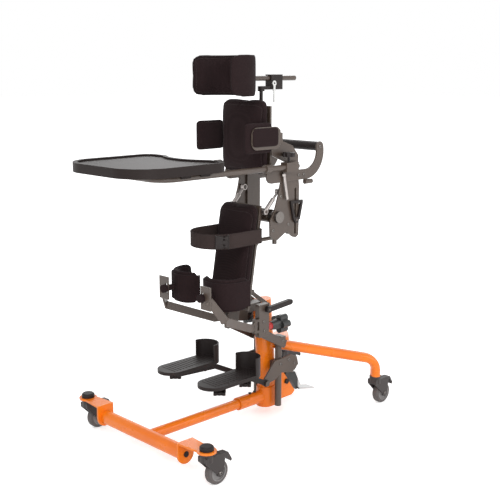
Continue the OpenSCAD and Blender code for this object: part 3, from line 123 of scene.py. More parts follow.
def noise(tree, place, scale, detail=3.0):
    return add(tree, "ShaderNodeTexNoise", {"Vector": place, "Scale": scale, "Detail": detail}).outputs[0]


def spread(tree, value, low, high, to_low, to_high):
    """Maps a value from one range to another, clamped."""
    return add(tree, "ShaderNodeMapRange", {0: value, 1: low, 2: high, 3: to_low, 4: to_high}).outputs[0]


def blend_colours(tree, factor, first, second):
    item = add(tree, "ShaderNodeMix", data_type="RGBA")
    for socket, value in ((0, factor), (6, first), (7, second)):
        if isinstance(value, bpy.types.NodeSocket):
            tree.links.new(value, item.inputs[socket])
        else:
            item.inputs[socket].default_value = value if socket == 0 else (*value, 1.0)
    return item.outputs[2]


def relief(tree, shader, height, strength, depth, under=None):
    inputs = {"Height": height, "Strength": strength, "Distance": depth}
    if under is not None:
        inputs["Normal"] = under
    bump = add(tree, "ShaderNodeBump", inputs)
    tree.links.new(bump.outputs[0], shader.inputs["Normal"])
    return bump.outputs[0]


def edge_mask(tree, radius):
    """1 along sharp edges and 0 on flat faces, from the Bevel node's rounded normal."""
    rounded = add(tree, "ShaderNodeBevel", {"Radius": radius}, samples=4).outputs[0]
    flat = add(tree, "ShaderNodeNewGeometry").outputs["Normal"]
    same = add(tree, "ShaderNodeVectorMath", {0: rounded, 1: flat}, operation="DOT_PRODUCT").outputs["Value"]
    return spread(tree, same, 0.80, 0.99, 1.0, 0.0), rounded


# %% [markdown]
# ## Powder coat
# The tubes and plates are powder coated: an even colour with a fine orange-peel
# relief that breaks the highlights, and a painted highlight: a paler colour along the edges.
# The base is orange, the adjustable carriers are warm dark grey.

# %% Powder coats


def powder_coat(name, colour, shade, highlight_colour, roughness, specular=0.5):
    finish, tree, shader, place = start_finish(name, roughness, specular=specular)
    cloud = noise(tree, place, 9.0)
    body = blend_colours(tree, spread(tree, cloud, 0.35, 0.65, 0.0, 1.0), colour, shade)
    edge_highlight, rounded = edge_mask(tree, 0.0015)
    # The paler colour along the edges is a painted highlight.
    tree.links.new(blend_colours(tree, edge_highlight, body, highlight_colour), shader.inputs["Base Color"])
    grain = noise(tree, place, 650.0, 2.0)
    uneven = spread(tree, cloud, 0.3, 0.7, roughness - 0.05, roughness + 0.07)
    tree.links.new(uneven, shader.inputs["Roughness"])
    relief(tree, shader, grain, 0.12, 0.0004, rounded)
    return finish


# The edge colour of each coat is a painted highlight.
orange_coat = powder_coat(
    "orange_powder_coat",
    colour=(0.80, 0.185, 0.007),
    shade=(0.74, 0.155, 0.006),
    highlight_colour=(0.92, 0.34, 0.03),
    roughness=0.26,
    specular=0.38,
)
dark_coat = powder_coat(
    "dark_powder_coat",
    colour=(0.055, 0.038, 0.029),
    shade=(0.067, 0.047, 0.036),
    highlight_colour=(0.17, 0.14, 0.115),
    roughness=0.38,
)
print("coats", orange_coat.name, dark_coat.name)

# %% [markdown]
# ## Moulded plastics
# Knobs, levers, caps and foot plates are black moulded plastic with a fine spark
# texture. The tray is a larger moulding in brown-black with a soft grain. Every
# moulding gets a painted highlight: a paler colour along its edges.

# %% Plastics


def moulded(name, colour, shade, highlight_colour, roughness, grain_scale, grain_depth, specular=0.5):
    finish, tree, shader, place = start_finish(name, roughness, specular=specular)
    edge_highlight, rounded = edge_mask(tree, 0.0012)
    cloud = noise(tree, place, 14.0)
    body = blend_colours(tree, cloud, colour, shade)
    # The paler colour along the edges is a painted highlight.
    tree.links.new(blend_colours(tree, edge_highlight, body, highlight_colour), shader.inputs["Base Color"])
    relief(tree, shader, noise(tree, place, grain_scale, 4.0), 0.25, grain_depth, rounded)
    return finish


# The edge colour of each plastic is a painted highlight.
black_plastic = moulded(
    "black_plastic",
    colour=(0.0105, 0.0070, 0.0066),
    shade=(0.0160, 0.0112, 0.0106),
    highlight_colour=(0.06, 0.050, 0.047),
    roughness=0.48,
    grain_scale=1400.0,
    grain_depth=0.0002,
    specular=0.22,
)
tray_plastic = moulded(
    "tray_plastic",
    colour=(0.0140, 0.0095, 0.0087),
    shade=(0.0190, 0.0135, 0.0125),
    highlight_colour=(0.06, 0.050, 0.047),
    roughness=0.52,
    grain_scale=700.0,
    grain_depth=0.0004,
    specular=0.14,
)
fork_plastic = moulded(
    "caster_plastic",
    colour=(0.027, 0.0205, 0.0195),
    shade=(0.036, 0.0285, 0.0275),
    highlight_colour=(0.10, 0.088, 0.085),
    roughness=0.45,
    grain_scale=1100.0,
    grain_depth=0.0002,
    specular=0.35,
)
print("plastics", black_plastic.name, tray_plastic.name, fork_plastic.name)

# %% [markdown]
# ## Plated steel
# Plated steel is metallic, with fine brushed lines and faint stains that change the
# roughness. The struts are duller, and the hip pivot and the screws are darkened.

# %% Plated steel


def plated(name, colour, roughness):
    finish, tree, shader, place = start_finish(name, roughness, metallic=1.0)
    stretched = add(tree, "ShaderNodeMapping", {"Vector": place, "Scale": (30.0, 900.0, 900.0)}).outputs[0]
    lines = noise(tree, stretched, 1.0, 2.0)
    stain = noise(tree, place, 40.0)
    tree.links.new(blend_colours(tree, stain, colour, [0.8 * c for c in colour]), shader.inputs["Base Color"])
    uneven = spread(tree, stain, 0.3, 0.7, roughness - 0.06, roughness + 0.1)
    tree.links.new(uneven, shader.inputs["Roughness"])
    relief(tree, shader, lines, 0.08, 0.0002)
    return finish


silver_steel = plated("plated_steel", (0.55, 0.55, 0.54), 0.30)
dull_steel = plated("dull_steel", (0.40, 0.365, 0.35), 0.36)
dark_steel = plated("darkened_steel", (0.17, 0.155, 0.145), 0.30)
print("steels", silver_steel.name, dull_steel.name, dark_steel.name)

# %% [markdown]
# ## Nodes with two finishes
# Some solids hold two finishes: the pedal's plate is bare steel on a black arm, and
# the big knee knobs have a red collar. The border lies at a known place along Y, so
# a Separate XYZ node and a comparison pick the finish there.

# %% Finishes that change along Y


def two_finish(name, border_low, border_high, inside, outside, metal_inside, roughness):
    """inside between two places along Y, outside elsewhere."""
    finish, tree, shader, place = start_finish(name, roughness)
    y = add(tree, "ShaderNodeSeparateXYZ", {0: place}).outputs[1]
    after = add(tree, "ShaderNodeMath", {0: y, 1: border_low}, operation="GREATER_THAN").outputs[0]
    before = add(tree, "ShaderNodeMath", {0: y, 1: border_high}, operation="LESS_THAN").outputs[0]
    within = add(tree, "ShaderNodeMath", {0: after, 1: before}, operation="MULTIPLY").outputs[0]
    cloud = noise(tree, place, 30.0)
    first = blend_colours(tree, cloud, outside, [1.5 * c for c in outside])
    second = blend_colours(tree, cloud, inside, [0.8 * c for c in inside])
    tree.links.new(blend_colours(tree, within, first, second), shader.inputs["Base Color"])
    if metal_inside:
        tree.links.new(within, shader.inputs["Metallic"])
    relief(tree, shader, noise(tree, place, 1200.0, 3.0), 0.2, 0.0002, edge_mask(tree, 0.0012)[1])
    return finish


PEDAL_PIN_Y, PEDAL_ARM = 614, 76
BEHIND_ALL = 9.0
pedal_finish = two_finish(
    "pedal_plastic_and_steel",
    border_low=at(0, PEDAL_PIN_Y + PEDAL_ARM, 0).y,
    border_high=BEHIND_ALL,
    inside=(0.60, 0.60, 0.60),
    outside=(0.015, 0.015, 0.015),
    metal_inside=True,
    roughness=0.35,
)
COLLAR_FRONT, COLLAR_LEN = 465.9, 16.1
knob_finish = two_finish(
    "knob_with_red_collar",
    border_low=at(0, COLLAR_FRONT, 0).y,
    border_high=at(0, COLLAR_FRONT + COLLAR_LEN, 0).y,
    inside=(0.42, 0.012, 0.010),
    outside=(0.012, 0.012, 0.012),
    metal_inside=False,
    roughness=0.38,
)
print("two finishes", pedal_finish.name, knob_finish.name)

# %% [markdown]
# ## Casters
# Each wheel is a grey rubber tyre on a darker plastic centre. The distance from the
# axle picks the colour, so each wheel needs a material centred on its own axle.

# %% Wheel materials


def wheel_finish(name, centre):
    finish, tree, shader, place = start_finish(name, 0.6)
    local = add(tree, "ShaderNodeVectorMath", {0: place, 1: centre}, operation="SUBTRACT").outputs[0]
    flat = add(tree, "ShaderNodeVectorMath", {0: local, 1: (0.0, 1.0, 1.0)}, operation="MULTIPLY").outputs[0]
    radius = add(tree, "ShaderNodeVectorMath", {0: flat}, operation="LENGTH").outputs["Value"]
    rubber = spread(tree, radius, 0.0262, 0.0266, 0.0, 1.0)
    dust = noise(tree, place, 90.0)
    tyre = blend_colours(tree, dust, (0.062, 0.052, 0.050), (0.095, 0.083, 0.080))
    centre_colour = blend_colours(tree, dust, (0.19, 0.178, 0.175), (0.24, 0.228, 0.225))
    tree.links.new(blend_colours(tree, rubber, centre_colour, tyre), shader.inputs["Base Color"])
    tree.links.new(spread(tree, dust, 0.2, 0.8, 0.5, 0.75), shader.inputs["Roughness"])
    relief(tree, shader, noise(tree, place, 500.0), 0.2, 0.0003, edge_mask(tree, 0.0012)[1])
    return finish


wheel_finishes = {}
for corner in ("front_left", "front_right", "rear_left", "rear_right"):
    low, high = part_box("caster_wheel_" + corner)
    axle = (Vector(low) + Vector(high)) / 2
    wheel_finishes["caster_wheel_" + corner] = wheel_finish("tyre_" + corner, axle)
print("wheels", sorted(wheel_finishes))

# %% [markdown]
# ## Upholstery and webbing
# The pads are covered in a charcoal stretch fabric. Close up it is a fine knit: two
# crossing sets of ridges. From a step away it is nearly black, with a soft sheen at
# grazing angles. The belt's webbing has coarser ribs across its run.

# %% Fabrics


def knit(name, colour, shade, ridge, depth):
    finish, tree, shader, place = start_finish(name, 0.9, specular=0.08)
    shader.inputs["Sheen Weight"].default_value = 0.04
    shader.inputs["Sheen Roughness"].default_value = 0.45
    ridges = []
    for turn in ((0.6, 0.0, 0.785), (-0.6, 0.0, -0.785)):
        turned = add(tree, "ShaderNodeMapping", {"Vector": place, "Rotation": turn}).outputs[0]
        ribbed = {"Vector": turned, "Scale": ridge, "Distortion": 0.6, "Detail": 1.0}
        ridges.append(add(tree, "ShaderNodeTexWave", ribbed).outputs[1])
    weave = add(tree, "ShaderNodeMath", {0: ridges[0], 1: ridges[1]}, operation="MULTIPLY").outputs[0]
    cloud = noise(tree, place, 25.0)
    body = blend_colours(tree, cloud, colour, shade)
    tree.links.new(blend_colours(tree, weave, body, [1.7 * c for c in shade]), shader.inputs["Base Color"])
    relief(tree, shader, weave, 0.5, depth)
    return finish


pad_fabric = knit("charcoal_knit", (0.0135, 0.0076, 0.0081), (0.0168, 0.0098, 0.0103), 190.0, 0.0005)
welt_fabric = knit("black_welt", (0.0110, 0.0065, 0.0069), (0.0145, 0.0090, 0.0094), 260.0, 0.0003)
belt_webbing = knit("black_webbing", (0.0290, 0.0205, 0.0190), (0.0370, 0.0265, 0.0250), 120.0, 0.0006)
thread = knit("grey_thread", (0.034, 0.026, 0.026), (0.046, 0.037, 0.037), 500.0, 0.0001)
print("fabrics", pad_fabric.name, welt_fabric.name, belt_webbing.name, thread.name)

# %% [markdown]
# ## Dressing the CAD parts
# A CAD part keeps its mesh and only gets a better material. The record's slots say
# which finish a part has. The exceptions come last: the finishes made above, and the
# knee shells, which wear the same fabric as the pads.

# %% Give every node its finish
slot_finish = {
    "orange": orange_coat,
    "dark_metal": dark_coat,
    "silver": silver_steel,
    "black_plastic": black_plastic,
    "tyre": fork_plastic,
    "padding": pad_fabric,
    "webbing": belt_webbing,
    "tray_plastic": tray_plastic,
}
node_finish = {part["node"]: slot_finish[part["material_slot"]] for part in frame["record"]["subparts"]}
node_finish.update(wheel_finishes)
node_finish["foot_pedal"] = pedal_finish
node_finish["hip_shaft"] = dark_steel
for side in ("left", "right"):
    node_finish["knee_shell_" + side] = pad_fabric
    node_finish["knee_knob_" + side] = knob_finish
for name in nodes:
    if name.startswith(("caster_fork", "caster_brake")):
        node_finish[name] = fork_plastic
    if name.startswith("strut"):
        node_finish[name] = dull_steel
for name, part in nodes.items():
    part.data.materials.clear()
    part.data.materials.append(node_finish[name])
print("dressed", len(node_finish))

# %% [markdown]
# ## Soft pads
# A pad is foam in a sewn cover: crowned in front, rounded at the corners and drawn in
# between them. It is lofted along its own line, straight for the back pads and curved
# for knees and head, and then a short cloth simulation with air pressure swells the
# cover. A cap on the movement and the board behind it keep the pad in its place.

# %% Loft of a pad
SIDES = 40
SHARES = [math.sin(math.radians(a)) for a in range(-90, 91, 5)]
CORNER = 7.0
CROWN = 0.18


def power(value, exponent):
    return math.copysign(abs(value) ** exponent, value)


def height_share(u):
    return max(1 - abs(u) ** CORNER, 0.0) ** (1 / CORNER) * (1 - 0.03 * (1 - u * u))


def thick_share(u):
    return max(1 - abs(u) ** CORNER, 0.0) ** 0.5 * (1 - CROWN * u * u)


def straight(width):
    """A pad's middle line across X, facing -Y: returns a point and the way it faces."""
    return lambda u: (Vector((u * width / 2, 0, 0)), Vector((0, -1, 0)))


def wrapped(centre, radius, start, end, wing_start, wing_end):
    """A pad's middle line round a centre, with straight wings, facing the centre."""
    turn = 1 if end > start else -1
    arc = math.radians(abs(end - start)) * radius

    def line(u):
        s = (u + 1) / 2 * (wing_start + arc + wing_end) - wing_start
        on_arc = min(max(s, 0.0), arc)
        angle = math.radians(start) + turn * on_arc / radius
        out = Vector((math.cos(angle), math.sin(angle), 0))
        tangent = Vector((-math.sin(angle), math.cos(angle), 0)) * turn
        return Vector((*centre, 0)) + out * radius + tangent * (s - on_arc), -out

    return line


def pad_point(line, u, angle, height, front, back):
    point, facing = line(u)
    up = power(math.cos(angle), 0.5) * height / 2 * height_share(u)
    out = power(math.sin(angle), 0.8) * front if math.sin(angle) > 0 else power(math.sin(angle), 0.25) * back
    return point + facing * out * thick_share(u) + Vector((0, 0, up))


def loft(name, line, height, front, back, place):
    """A closed pad mesh in mm, moved to its place and turned into metres."""
    mesh = bpy.data.meshes.new(name)
    shape = bmesh.new()
    rings = []
    for u in SHARES[1:-1]:
        ring = [pad_point(line, u, math.tau * (j + 0.5) / SIDES, height, front, back) for j in range(SIDES)]
        rings.append([shape.verts.new(place @ p) for p in ring])
    for first, second in zip(rings, rings[1:]):
        for j in range(SIDES):
            k = (j + 1) % SIDES
            shape.faces.new((first[j], first[k], second[k], second[j]))
    for ring in (rings[0], rings[-1]):
        middle = shape.verts.new(sum((v.co for v in ring), Vector()) / SIDES)
        for j in range(SIDES):
            shape.faces.new((ring[j], ring[(j + 1) % SIDES], middle))
    bmesh.ops.recalc_face_normals(shape, faces=shape.faces)
    shape.to_mesh(mesh)
    shape.free()
    piece = bpy.data.objects.new(name, mesh)
    bpy.context.scene.collection.objects.link(piece)
    return piece


# %% [markdown]
# The sizes of each pad repeat the CAD sizes, so each pad sits in the space that its
# solid holds. `placed` turns millimetres about the pad's own middle into the model.

# %% Pads of the frame


def placed(x, y, z, tilt=0.0, turn=0.0, mirror=False):
    """A place given in mm, tilted about X and turned about Z, and mirrored for the right side."""
    flip = Matrix.Scale(-1, 4, (1, 0, 0)) if mirror else Matrix.Identity(4)
    return (
        flip
        @ Matrix.Translation(at(x, y, z))
        @ Matrix.Rotation(math.radians(tilt), 4, "X")
        @ Matrix.Rotation(math.radians(turn), 4, "Z")
        @ Matrix.Scale(MM, 4)
    )


HIP_Y, HIP_Z = 490.56, 708.0
TRUNK_Y = HIP_Y - 25
PAD_LEAN = -9.2
KNEE_R, HEAD_R = 56, 86
leg_pad_place = placed(0, 383, 407, PAD_LEAN) @ Matrix.Translation((0, -25.3, 172.5))
SLIM, SHORT = 0.93, 0.99
pad_plans = {
    "leg_pad": (straight(164), 345, 25, 25, leg_pad_place),
    "trunk_pad": (straight(190), 235, 29, 29, placed(0, TRUNK_Y - 29.3, 967.5)),
    "head_pad": (wrapped((0, 0), HEAD_R, 180, 0, 58, 58), 128, 14, 12, placed(0, HIP_Y - 141, 1160)),
}
for side, mirror in (("left", False), ("right", True)):
    knee_place = placed(78, 275, 492, mirror=mirror)
    pad_plans["knee_pad_" + side] = (wrapped((0, 0), KNEE_R, -160, 0, 0, 45), 104, 13, 9, knee_place)
    lateral_place = placed(112.2, HIP_Y - 15 - 88, 968, 0, -90, mirror)
    pad_plans["lateral_pad_" + side] = (straight(120), 96, 8.5, 8.5, lateral_place)
covers = {}
for name, (line, height, front, back, place) in pad_plans.items():
    covers[name] = loft(name + "_cover", line, height * SHORT, front * SLIM, back * SLIM, place)
print("covers", sorted(covers))

# %% [markdown]
# ## Swelling the covers
# Voxel remesh gives the cloth solver even quads, and smoothing takes out the steps
# that the voxels leave on a gentle curve. All pads then run in the same sixteen
# frames with pressure inside and no gravity. Each point may move a few millimetres at
# most, and never behind the face that the pad rests on.

# %% Cloth simulation


def plain_mesh(piece):
    """Applies the modifiers and leaves a plain mesh."""
    graph = bpy.context.evaluated_depsgraph_get()
    mesh = bpy.data.meshes.new_from_object(piece.evaluated_get(graph))
    piece.modifiers.clear()
    old = piece.data
    piece.data = mesh
    bpy.data.meshes.remove(old)


def remesh(piece, voxel):
    modifier = piece.modifiers.new("even_quads", "REMESH")
    modifier.mode = "VOXEL"
    modifier.voxel_size = voxel
    soften = piece.modifiers.new("soften", "SMOOTH")
    soften.factor = 0.5
    soften.iterations = 10
    plain_mesh(piece)


def seat_limit(name, point):
    """Moves a point that swelled past the pad's seat back onto it."""
    *_, back, place = pad_plans[name]
    local = place.inverted() @ point
    if name.startswith(("knee", "head")):
        radius = (KNEE_R if name.startswith("knee") else HEAD_R) + back
        around = Vector((local.x, local.y, 0))
        if name.startswith("knee") and local.y > 0:
            local.x = min(local.x, radius)
        elif name.startswith("head") and local.y < 0:
            local.x = min(max(local.x, -radius), radius)
        elif around.length > radius:
            around *= radius / around.length
            local = Vector((around.x, around.y, local.z))
    else:
        local.y = min(local.y, back)
    return place @ local


VOXEL = 0.0048
PRESSURE = 4.0
CLOTH_FRAMES = 16
LATERAL_CAP, PAD_CAP = 0.003, 0.005
starts = {}
for name, piece in covers.items():
    remesh(piece, VOXEL)
    starts[name] = [v.co.copy() for v in piece.data.vertices]
    cloth = piece.modifiers.new("cover", "CLOTH").settings
    cloth.use_pressure = True
    cloth.uniform_pressure_force = PRESSURE
    cloth.effector_weights.gravity = 0.0
    cloth.quality = 4
for step in range(1, CLOTH_FRAMES + 1):
    bpy.context.scene.frame_set(step)
for name, piece in covers.items():
    plain_mesh(piece)
    cap = LATERAL_CAP if name.startswith("lateral") else PAD_CAP
    for vertex, start in zip(piece.data.vertices, starts[name]):
        move = vertex.co - start
        if move.length > cap:
            move *= cap / move.length
        vertex.co = seat_limit(name, start + move)
bpy.context.scene.frame_set(1)


PLATE_X, PLATE_TOP, PLATE_FRONT = 93.0, -60.0, -6
ROOM, WIDER, RISE = 0.7, 3, 15


def true_size(name, piece):
    """Stretches a cover, which draws in at its rim, back to full size.

    The trunk pad also stays clear of the hip plates, which it passes at its lowest place.
    """
    line, height, front, back, place = pad_plans[name]
    inward = place.inverted()
    points = [inward @ v.co for v in piece.data.vertices]
    tall = height / 2 / max(abs(p.z) for p in points)
    wide, deep, rear = 1.0, 1.0, 0.0
    if name.startswith(("leg", "trunk", "lateral")):
        wide = line(1)[0].x / max(abs(p.x) for p in points)
        rear = max(p.y for p in points)
        deep = (front + back) / (rear - min(p.y for p in points))
    for vertex, p in zip(piece.data.vertices, points):
        x, z = p.x * wide, p.z * tall
        y = back - (rear - p.y) * deep if deep != 1.0 else p.y
        if name == "trunk_pad" and y > PLATE_FRONT:
            half = PLATE_X - ROOM + WIDER * min(max((z - PLATE_TOP) / RISE, 0), 1)
            x = min(max(x, -half), half)
        vertex.co = place @ Vector((x, y, z))


for name, piece in covers.items():
    rounding = piece.modifiers.new("rounding", "SUBSURF")
    rounding.levels = rounding.render_levels = 1
    plain_mesh(piece)
    true_size(name, piece)
    piece.data.shade_smooth()
    piece.data.materials.clear()
    piece.data.materials.append(pad_fabric)
print({name: len(piece.data.vertices) for name, piece in covers.items()})

# %% [markdown]
# ## Welts and stitches
# A sewn cover shows a round welt where the front panel meets the side band, and a row
# of stitches beside it. Both follow a loop on the pad's surface. A Geometry Nodes tree
# makes the welt by sweeping a circle, and a second tree sets small thread stitches on
# evenly spaced points of the loop.

# %% Trees for welts and stitches


def new_tree(name, sockets):
    tree = bpy.data.node_groups.new(name, "GeometryNodeTree")
    tree.interface.new_socket("Geometry", in_out="INPUT", socket_type="NodeSocketGeometry")
    tree.interface.new_socket("Geometry", in_out="OUTPUT", socket_type="NodeSocketGeometry")
    for label, kind, value in sockets:
        tree.interface.new_socket(label, in_out="INPUT", socket_type=kind).default_value = value
    start = tree.nodes.new("NodeGroupInput")
    end = tree.nodes.new("NodeGroupOutput")
    return tree, start, end


def set_input(modifier, label, value):
    for item in modifier.node_group.interface.items_tree:
        if item.item_type == "SOCKET" and item.in_out == "INPUT" and item.name == label:
            modifier[item.identifier] = value


def welt_tree():
    tree, start, end = new_tree(
        "welt",
        [("Radius", "NodeSocketFloat", 0.0016), ("Cloth", "NodeSocketMaterial", welt_fabric)],
    )
    round_section = {"Resolution": 8, "Radius": start.outputs["Radius"]}
    circle = add(tree, "GeometryNodeCurvePrimitiveCircle", round_section)
    curve = add(tree, "GeometryNodeMeshToCurve", {"Mesh": start.outputs["Geometry"]})
    even = add(tree, "GeometryNodeResampleCurve", {"Curve": curve.outputs[0], "Count": 160})
    swept = {"Curve": even.outputs[0], "Profile Curve": circle.outputs[0]}
    tube = add(tree, "GeometryNodeCurveToMesh", swept)
    smooth = add(tree, "GeometryNodeSetShadeSmooth", {"Geometry": tube.outputs[0]})
    real = add(tree, "GeometryNodeRealizeInstances", {"Geometry": smooth.outputs[0]})
    coated = {"Geometry": real.outputs[0], "Material": start.outputs["Cloth"]}
    coat = add(tree, "GeometryNodeSetMaterial", coated)
    tree.links.new(coat.outputs[0], end.inputs[0])
    return tree


def stitch_tree():
    tree, start, end = new_tree(
        "stitches",
        [
            ("Pitch", "NodeSocketFloat", 0.005),
            ("Length", "NodeSocketFloat", 0.0034),
            ("Radius", "NodeSocketFloat", 0.0006),
            ("Thread", "NodeSocketMaterial", thread),
        ],
    )
    curve = add(tree, "GeometryNodeMeshToCurve", {"Mesh": start.outputs["Geometry"]})
    spaced = {"Curve": curve.outputs[0], "Length": start.outputs["Pitch"]}
    dots = add(tree, "GeometryNodeCurveToPoints", spaced, mode="LENGTH")
    one = add(
        tree,
        "GeometryNodeMeshCylinder",
        {"Vertices": 6, "Radius": start.outputs["Radius"], "Depth": start.outputs["Length"]},
        fill_type="TRIANGLE_FAN",
    )
    along = add(tree, "FunctionNodeAlignRotationToVector", {"Vector": dots.outputs["Tangent"]}, axis="Z")
    copies = add(
        tree,
        "GeometryNodeInstanceOnPoints",
        {"Points": dots.outputs["Points"], "Instance": one.outputs["Mesh"], "Rotation": along.outputs[0]},
    )
    real = add(tree, "GeometryNodeRealizeInstances", {"Geometry": copies.outputs[0]})
    coated = {"Geometry": real.outputs[0], "Material": start.outputs["Thread"]}
    coat = add(tree, "GeometryNodeSetMaterial", coated)
    tree.links.new(coat.outputs[0], end.inputs[0])
    return tree


welt_nodes = welt_tree()
stitch_nodes = stitch_tree()
print("trees", welt_nodes.name, stitch_nodes.name)

# %% [markdown]
# The loops are drawn on the loft at a fixed place round its section and then moved to
# the nearest point of the swollen cover.

# %% Welts and stitches on each pad


def loop_on(name, angle, lift, end_share):
    """A closed loop round the front panel of a pad, on its cover."""
    line, height, front, back, place = pad_plans[name]
    cover = covers[name]
    corners = [tuple(p.vertices) for p in cover.data.polygons]
    surface = BVHTree.FromPolygons([v.co for v in cover.data.vertices], corners)
    shares = [end_share * math.sin(math.radians(a)) for a in range(-90, 91, 5)]
    points = [pad_point(line, u, angle, height, front, back) for u in shares]
    steps = [angle + (math.pi - 2 * angle) * k / 12 for k in range(1, 12)]
    points += [pad_point(line, end_share, a, height, front, back) for a in steps]
    points += [pad_point(line, u, math.pi - angle, height, front, back) for u in reversed(shares)]
    points += [pad_point(line, -end_share, a, height, front, back) for a in reversed(steps)]
    found = [surface.find_nearest(place @ p) for p in points]
    return [spot + normal * lift for spot, normal, _, _ in found]


def ring_mesh(name, points, closed=True):
    mesh = bpy.data.meshes.new(name)
    count = len(points)
    mesh.from_pydata(points, [(i, (i + 1) % count) for i in range(count if closed else count - 1)], [])
    piece = bpy.data.objects.new(name, mesh)
    bpy.context.scene.collection.objects.link(piece)
    return piece


def grow(piece, tree, **values):
    modifier = piece.modifiers.new(tree.name, "NODES")
    modifier.node_group = tree
    for label, value in values.items():
        set_input(modifier, label, value)
    plain_mesh(piece)
    return piece


def body_of_node(name):
    return next(body for body, members in frame["record"]["behaviour"]["bodies"].items() if name in members)


WELT_ANGLE, WELT_LIFT, WELT_SHARE = math.radians(24), 0.0004, 0.978
STITCH_ANGLE, STITCH_LIFT, STITCH_SHARE = math.radians(40), 0.0002, 0.94
for name, cover in covers.items():
    body = body_of_node(name)
    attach(cover, body)
    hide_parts(name)
    welt_loop = loop_on(name, WELT_ANGLE, WELT_LIFT, WELT_SHARE)
    welt = grow(ring_mesh(name + "_welt", welt_loop), welt_nodes)
    stitch_loop = loop_on(name, STITCH_ANGLE, STITCH_LIFT, STITCH_SHARE)
    stitches = grow(ring_mesh(name + "_stitches", stitch_loop), stitch_nodes)
    for trim in (welt, stitches):
        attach(trim, body)
print("welts and stitches on", len(covers))

# %% [markdown]
# ## Covers on the lateral plates
# A thin padded cover hides most of each lateral plate's outer face and leaves a metal
# rim along its rear and lower edges.

# %% Lateral covers
LATERAL_MIDDLE = (127.3, 406, 971.5)
LATERAL_LONG, LATERAL_TALL = 112, 59
LATERAL_FRONT, LATERAL_BACK = 2.4, 2.2
lateral_covers = []
for side, mirror in (("left", False), ("right", True)):
    outer = loft(
        "lateral_cover_" + side,
        straight(LATERAL_LONG),
        LATERAL_TALL,
        LATERAL_FRONT,
        LATERAL_BACK,
        placed(*LATERAL_MIDDLE, 0, 90, mirror),
    )
    outer.data.shade_smooth()
    outer.data.materials.append(pad_fabric)
    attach(outer, "lateral_" + side)
    lateral_covers.append(outer.name)
print("lateral covers", lateral_covers)

# %% [markdown]
# ## Hip belt
# The belt is a padded strap that starts behind the edges of the leg pad's board, runs
# round the hips and closes with a side-release buckle. The remesh would melt such a
# thin strap, so it is lofted by hand: a rounded section swept along the CAD belt's line.

# %% Belt strap
BELT_HALF, BELT_FRONT = 85.8, 228.0
BELT_LOW, BELT_TALL = 626.0, 50.0
BELT_END = 70.5
BELT_BACK = (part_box("hip_belt")[1][1] - STEM_Y) / MM
BELT_THICK = 3.0
BACK_R = 12.0


def belt_line():
    """Middle line of the strap in mm from end to end, with the outward way at each point."""
    r = BELT_HALF - BELT_THICK / 2
    middle_y = BELT_FRONT + BELT_HALF
    corner_y = BELT_BACK - BACK_R
    small = BACK_R - BELT_THICK / 2
    half = []
    for a in range(270, 361, 3):
        out = Vector((math.cos(math.radians(a)), math.sin(math.radians(a)), 0))
        half.append((Vector((0, middle_y, 0)) + out * r, out))
    for k in range(1, 14):
        half.append((Vector((r, middle_y + (corner_y - middle_y) * k / 14, 0)), Vector((1, 0, 0))))
    for a in range(0, 91, 10):
        out = Vector((math.cos(math.radians(a)), math.sin(math.radians(a)), 0))
        half.append((Vector((BELT_HALF - BACK_R, corner_y, 0)) + out * small, out))
    half.append((Vector((BELT_END, corner_y + small, 0)), Vector((0, 1, 0))))
    other = [(Vector((-spot.x, spot.y, 0)), Vector((-out.x, out.y, 0))) for spot, out in reversed(half[1:])]
    return other + half


def sweep(name, path, section):
    """Sweeps a section of (outward, up) pairs along a path of points with outward ways."""
    shape = bmesh.new()
    rings = []
    for spot, out in path:
        rings.append([shape.verts.new(at(*(spot + out * w + Vector((0, 0, v))))) for w, v in section])
    count = len(section)
    for first, second in zip(rings, rings[1:]):
        for j in range(count):
            k = (j + 1) % count
            shape.faces.new((first[j], first[k], second[k], second[j]))
    shape.faces.new(rings[0])
    shape.faces.new(rings[-1])
    bmesh.ops.recalc_face_normals(shape, faces=shape.faces)
    mesh = bpy.data.meshes.new(name)
    shape.to_mesh(mesh)
    shape.free()
    mesh.shade_smooth()
    piece = bpy.data.objects.new(name, mesh)
    bpy.context.scene.collection.objects.link(piece)
    return piece


STRAP_SIDES = 28
section = []
for j in range(STRAP_SIDES):
    a = math.tau * (j + 0.5) / STRAP_SIDES
    section.append((power(math.cos(a), 0.6) * BELT_THICK / 2, power(math.sin(a), 0.35) * (BELT_TALL / 2 - 1)))
belt_path = belt_line()
middle_up = Vector((0, 0, BELT_LOW + BELT_TALL / 2))
strap = sweep("hip_belt_strap", [(spot + middle_up, out) for spot, out in belt_path], section)
strap.data.materials.append(belt_webbing)
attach(strap, "base")
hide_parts("hip_belt")
SEAM_UP, SEAM_LIFT = 21.0, 0.2
on_face = BELT_THICK / 2 + SEAM_LIFT
for label, up in (("upper", SEAM_UP), ("lower", -SEAM_UP)):
    row_up = middle_up + Vector((0, 0, up))
    row = [at(*(spot + out * on_face + row_up)) for spot, out in belt_path]
    seam = grow(ring_mesh("hip_belt_seam_" + label, row, closed=False), stitch_nodes, Pitch=0.006)
    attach(seam, "base")
print("belt length", round(sum((b[0] - a[0]).length for a, b in zip(belt_path, belt_path[1:]))), "mm")

# %% [markdown]
# ## Buckle and other small mouldings
# Small rigid mouldings are boxes with rounded edges, joined into one mesh. The Bevel
# operator rounds every edge, which catches the light as a real moulding does.

# %% Rounded boxes


def rounded_box(shape, size, place, radius, segments=3):
    """Adds a box with rounded edges to a bmesh; size and radius in mm."""
    made = bmesh.ops.create_cube(shape, size=1.0)["verts"]
    bmesh.ops.scale(shape, vec=[s * MM for s in size], verts=made)
    edges = list(dict.fromkeys(highlight_colour for v in made for highlight_colour in v.link_edges))
    result = bmesh.ops.bevel(
        shape, geom=edges, offset=radius * MM, segments=segments, profile=0.5, affect="EDGES"
    )
    around = {v for face in result["faces"] for v in face.verts}
    bmesh.ops.transform(shape, matrix=place, verts=list(around))


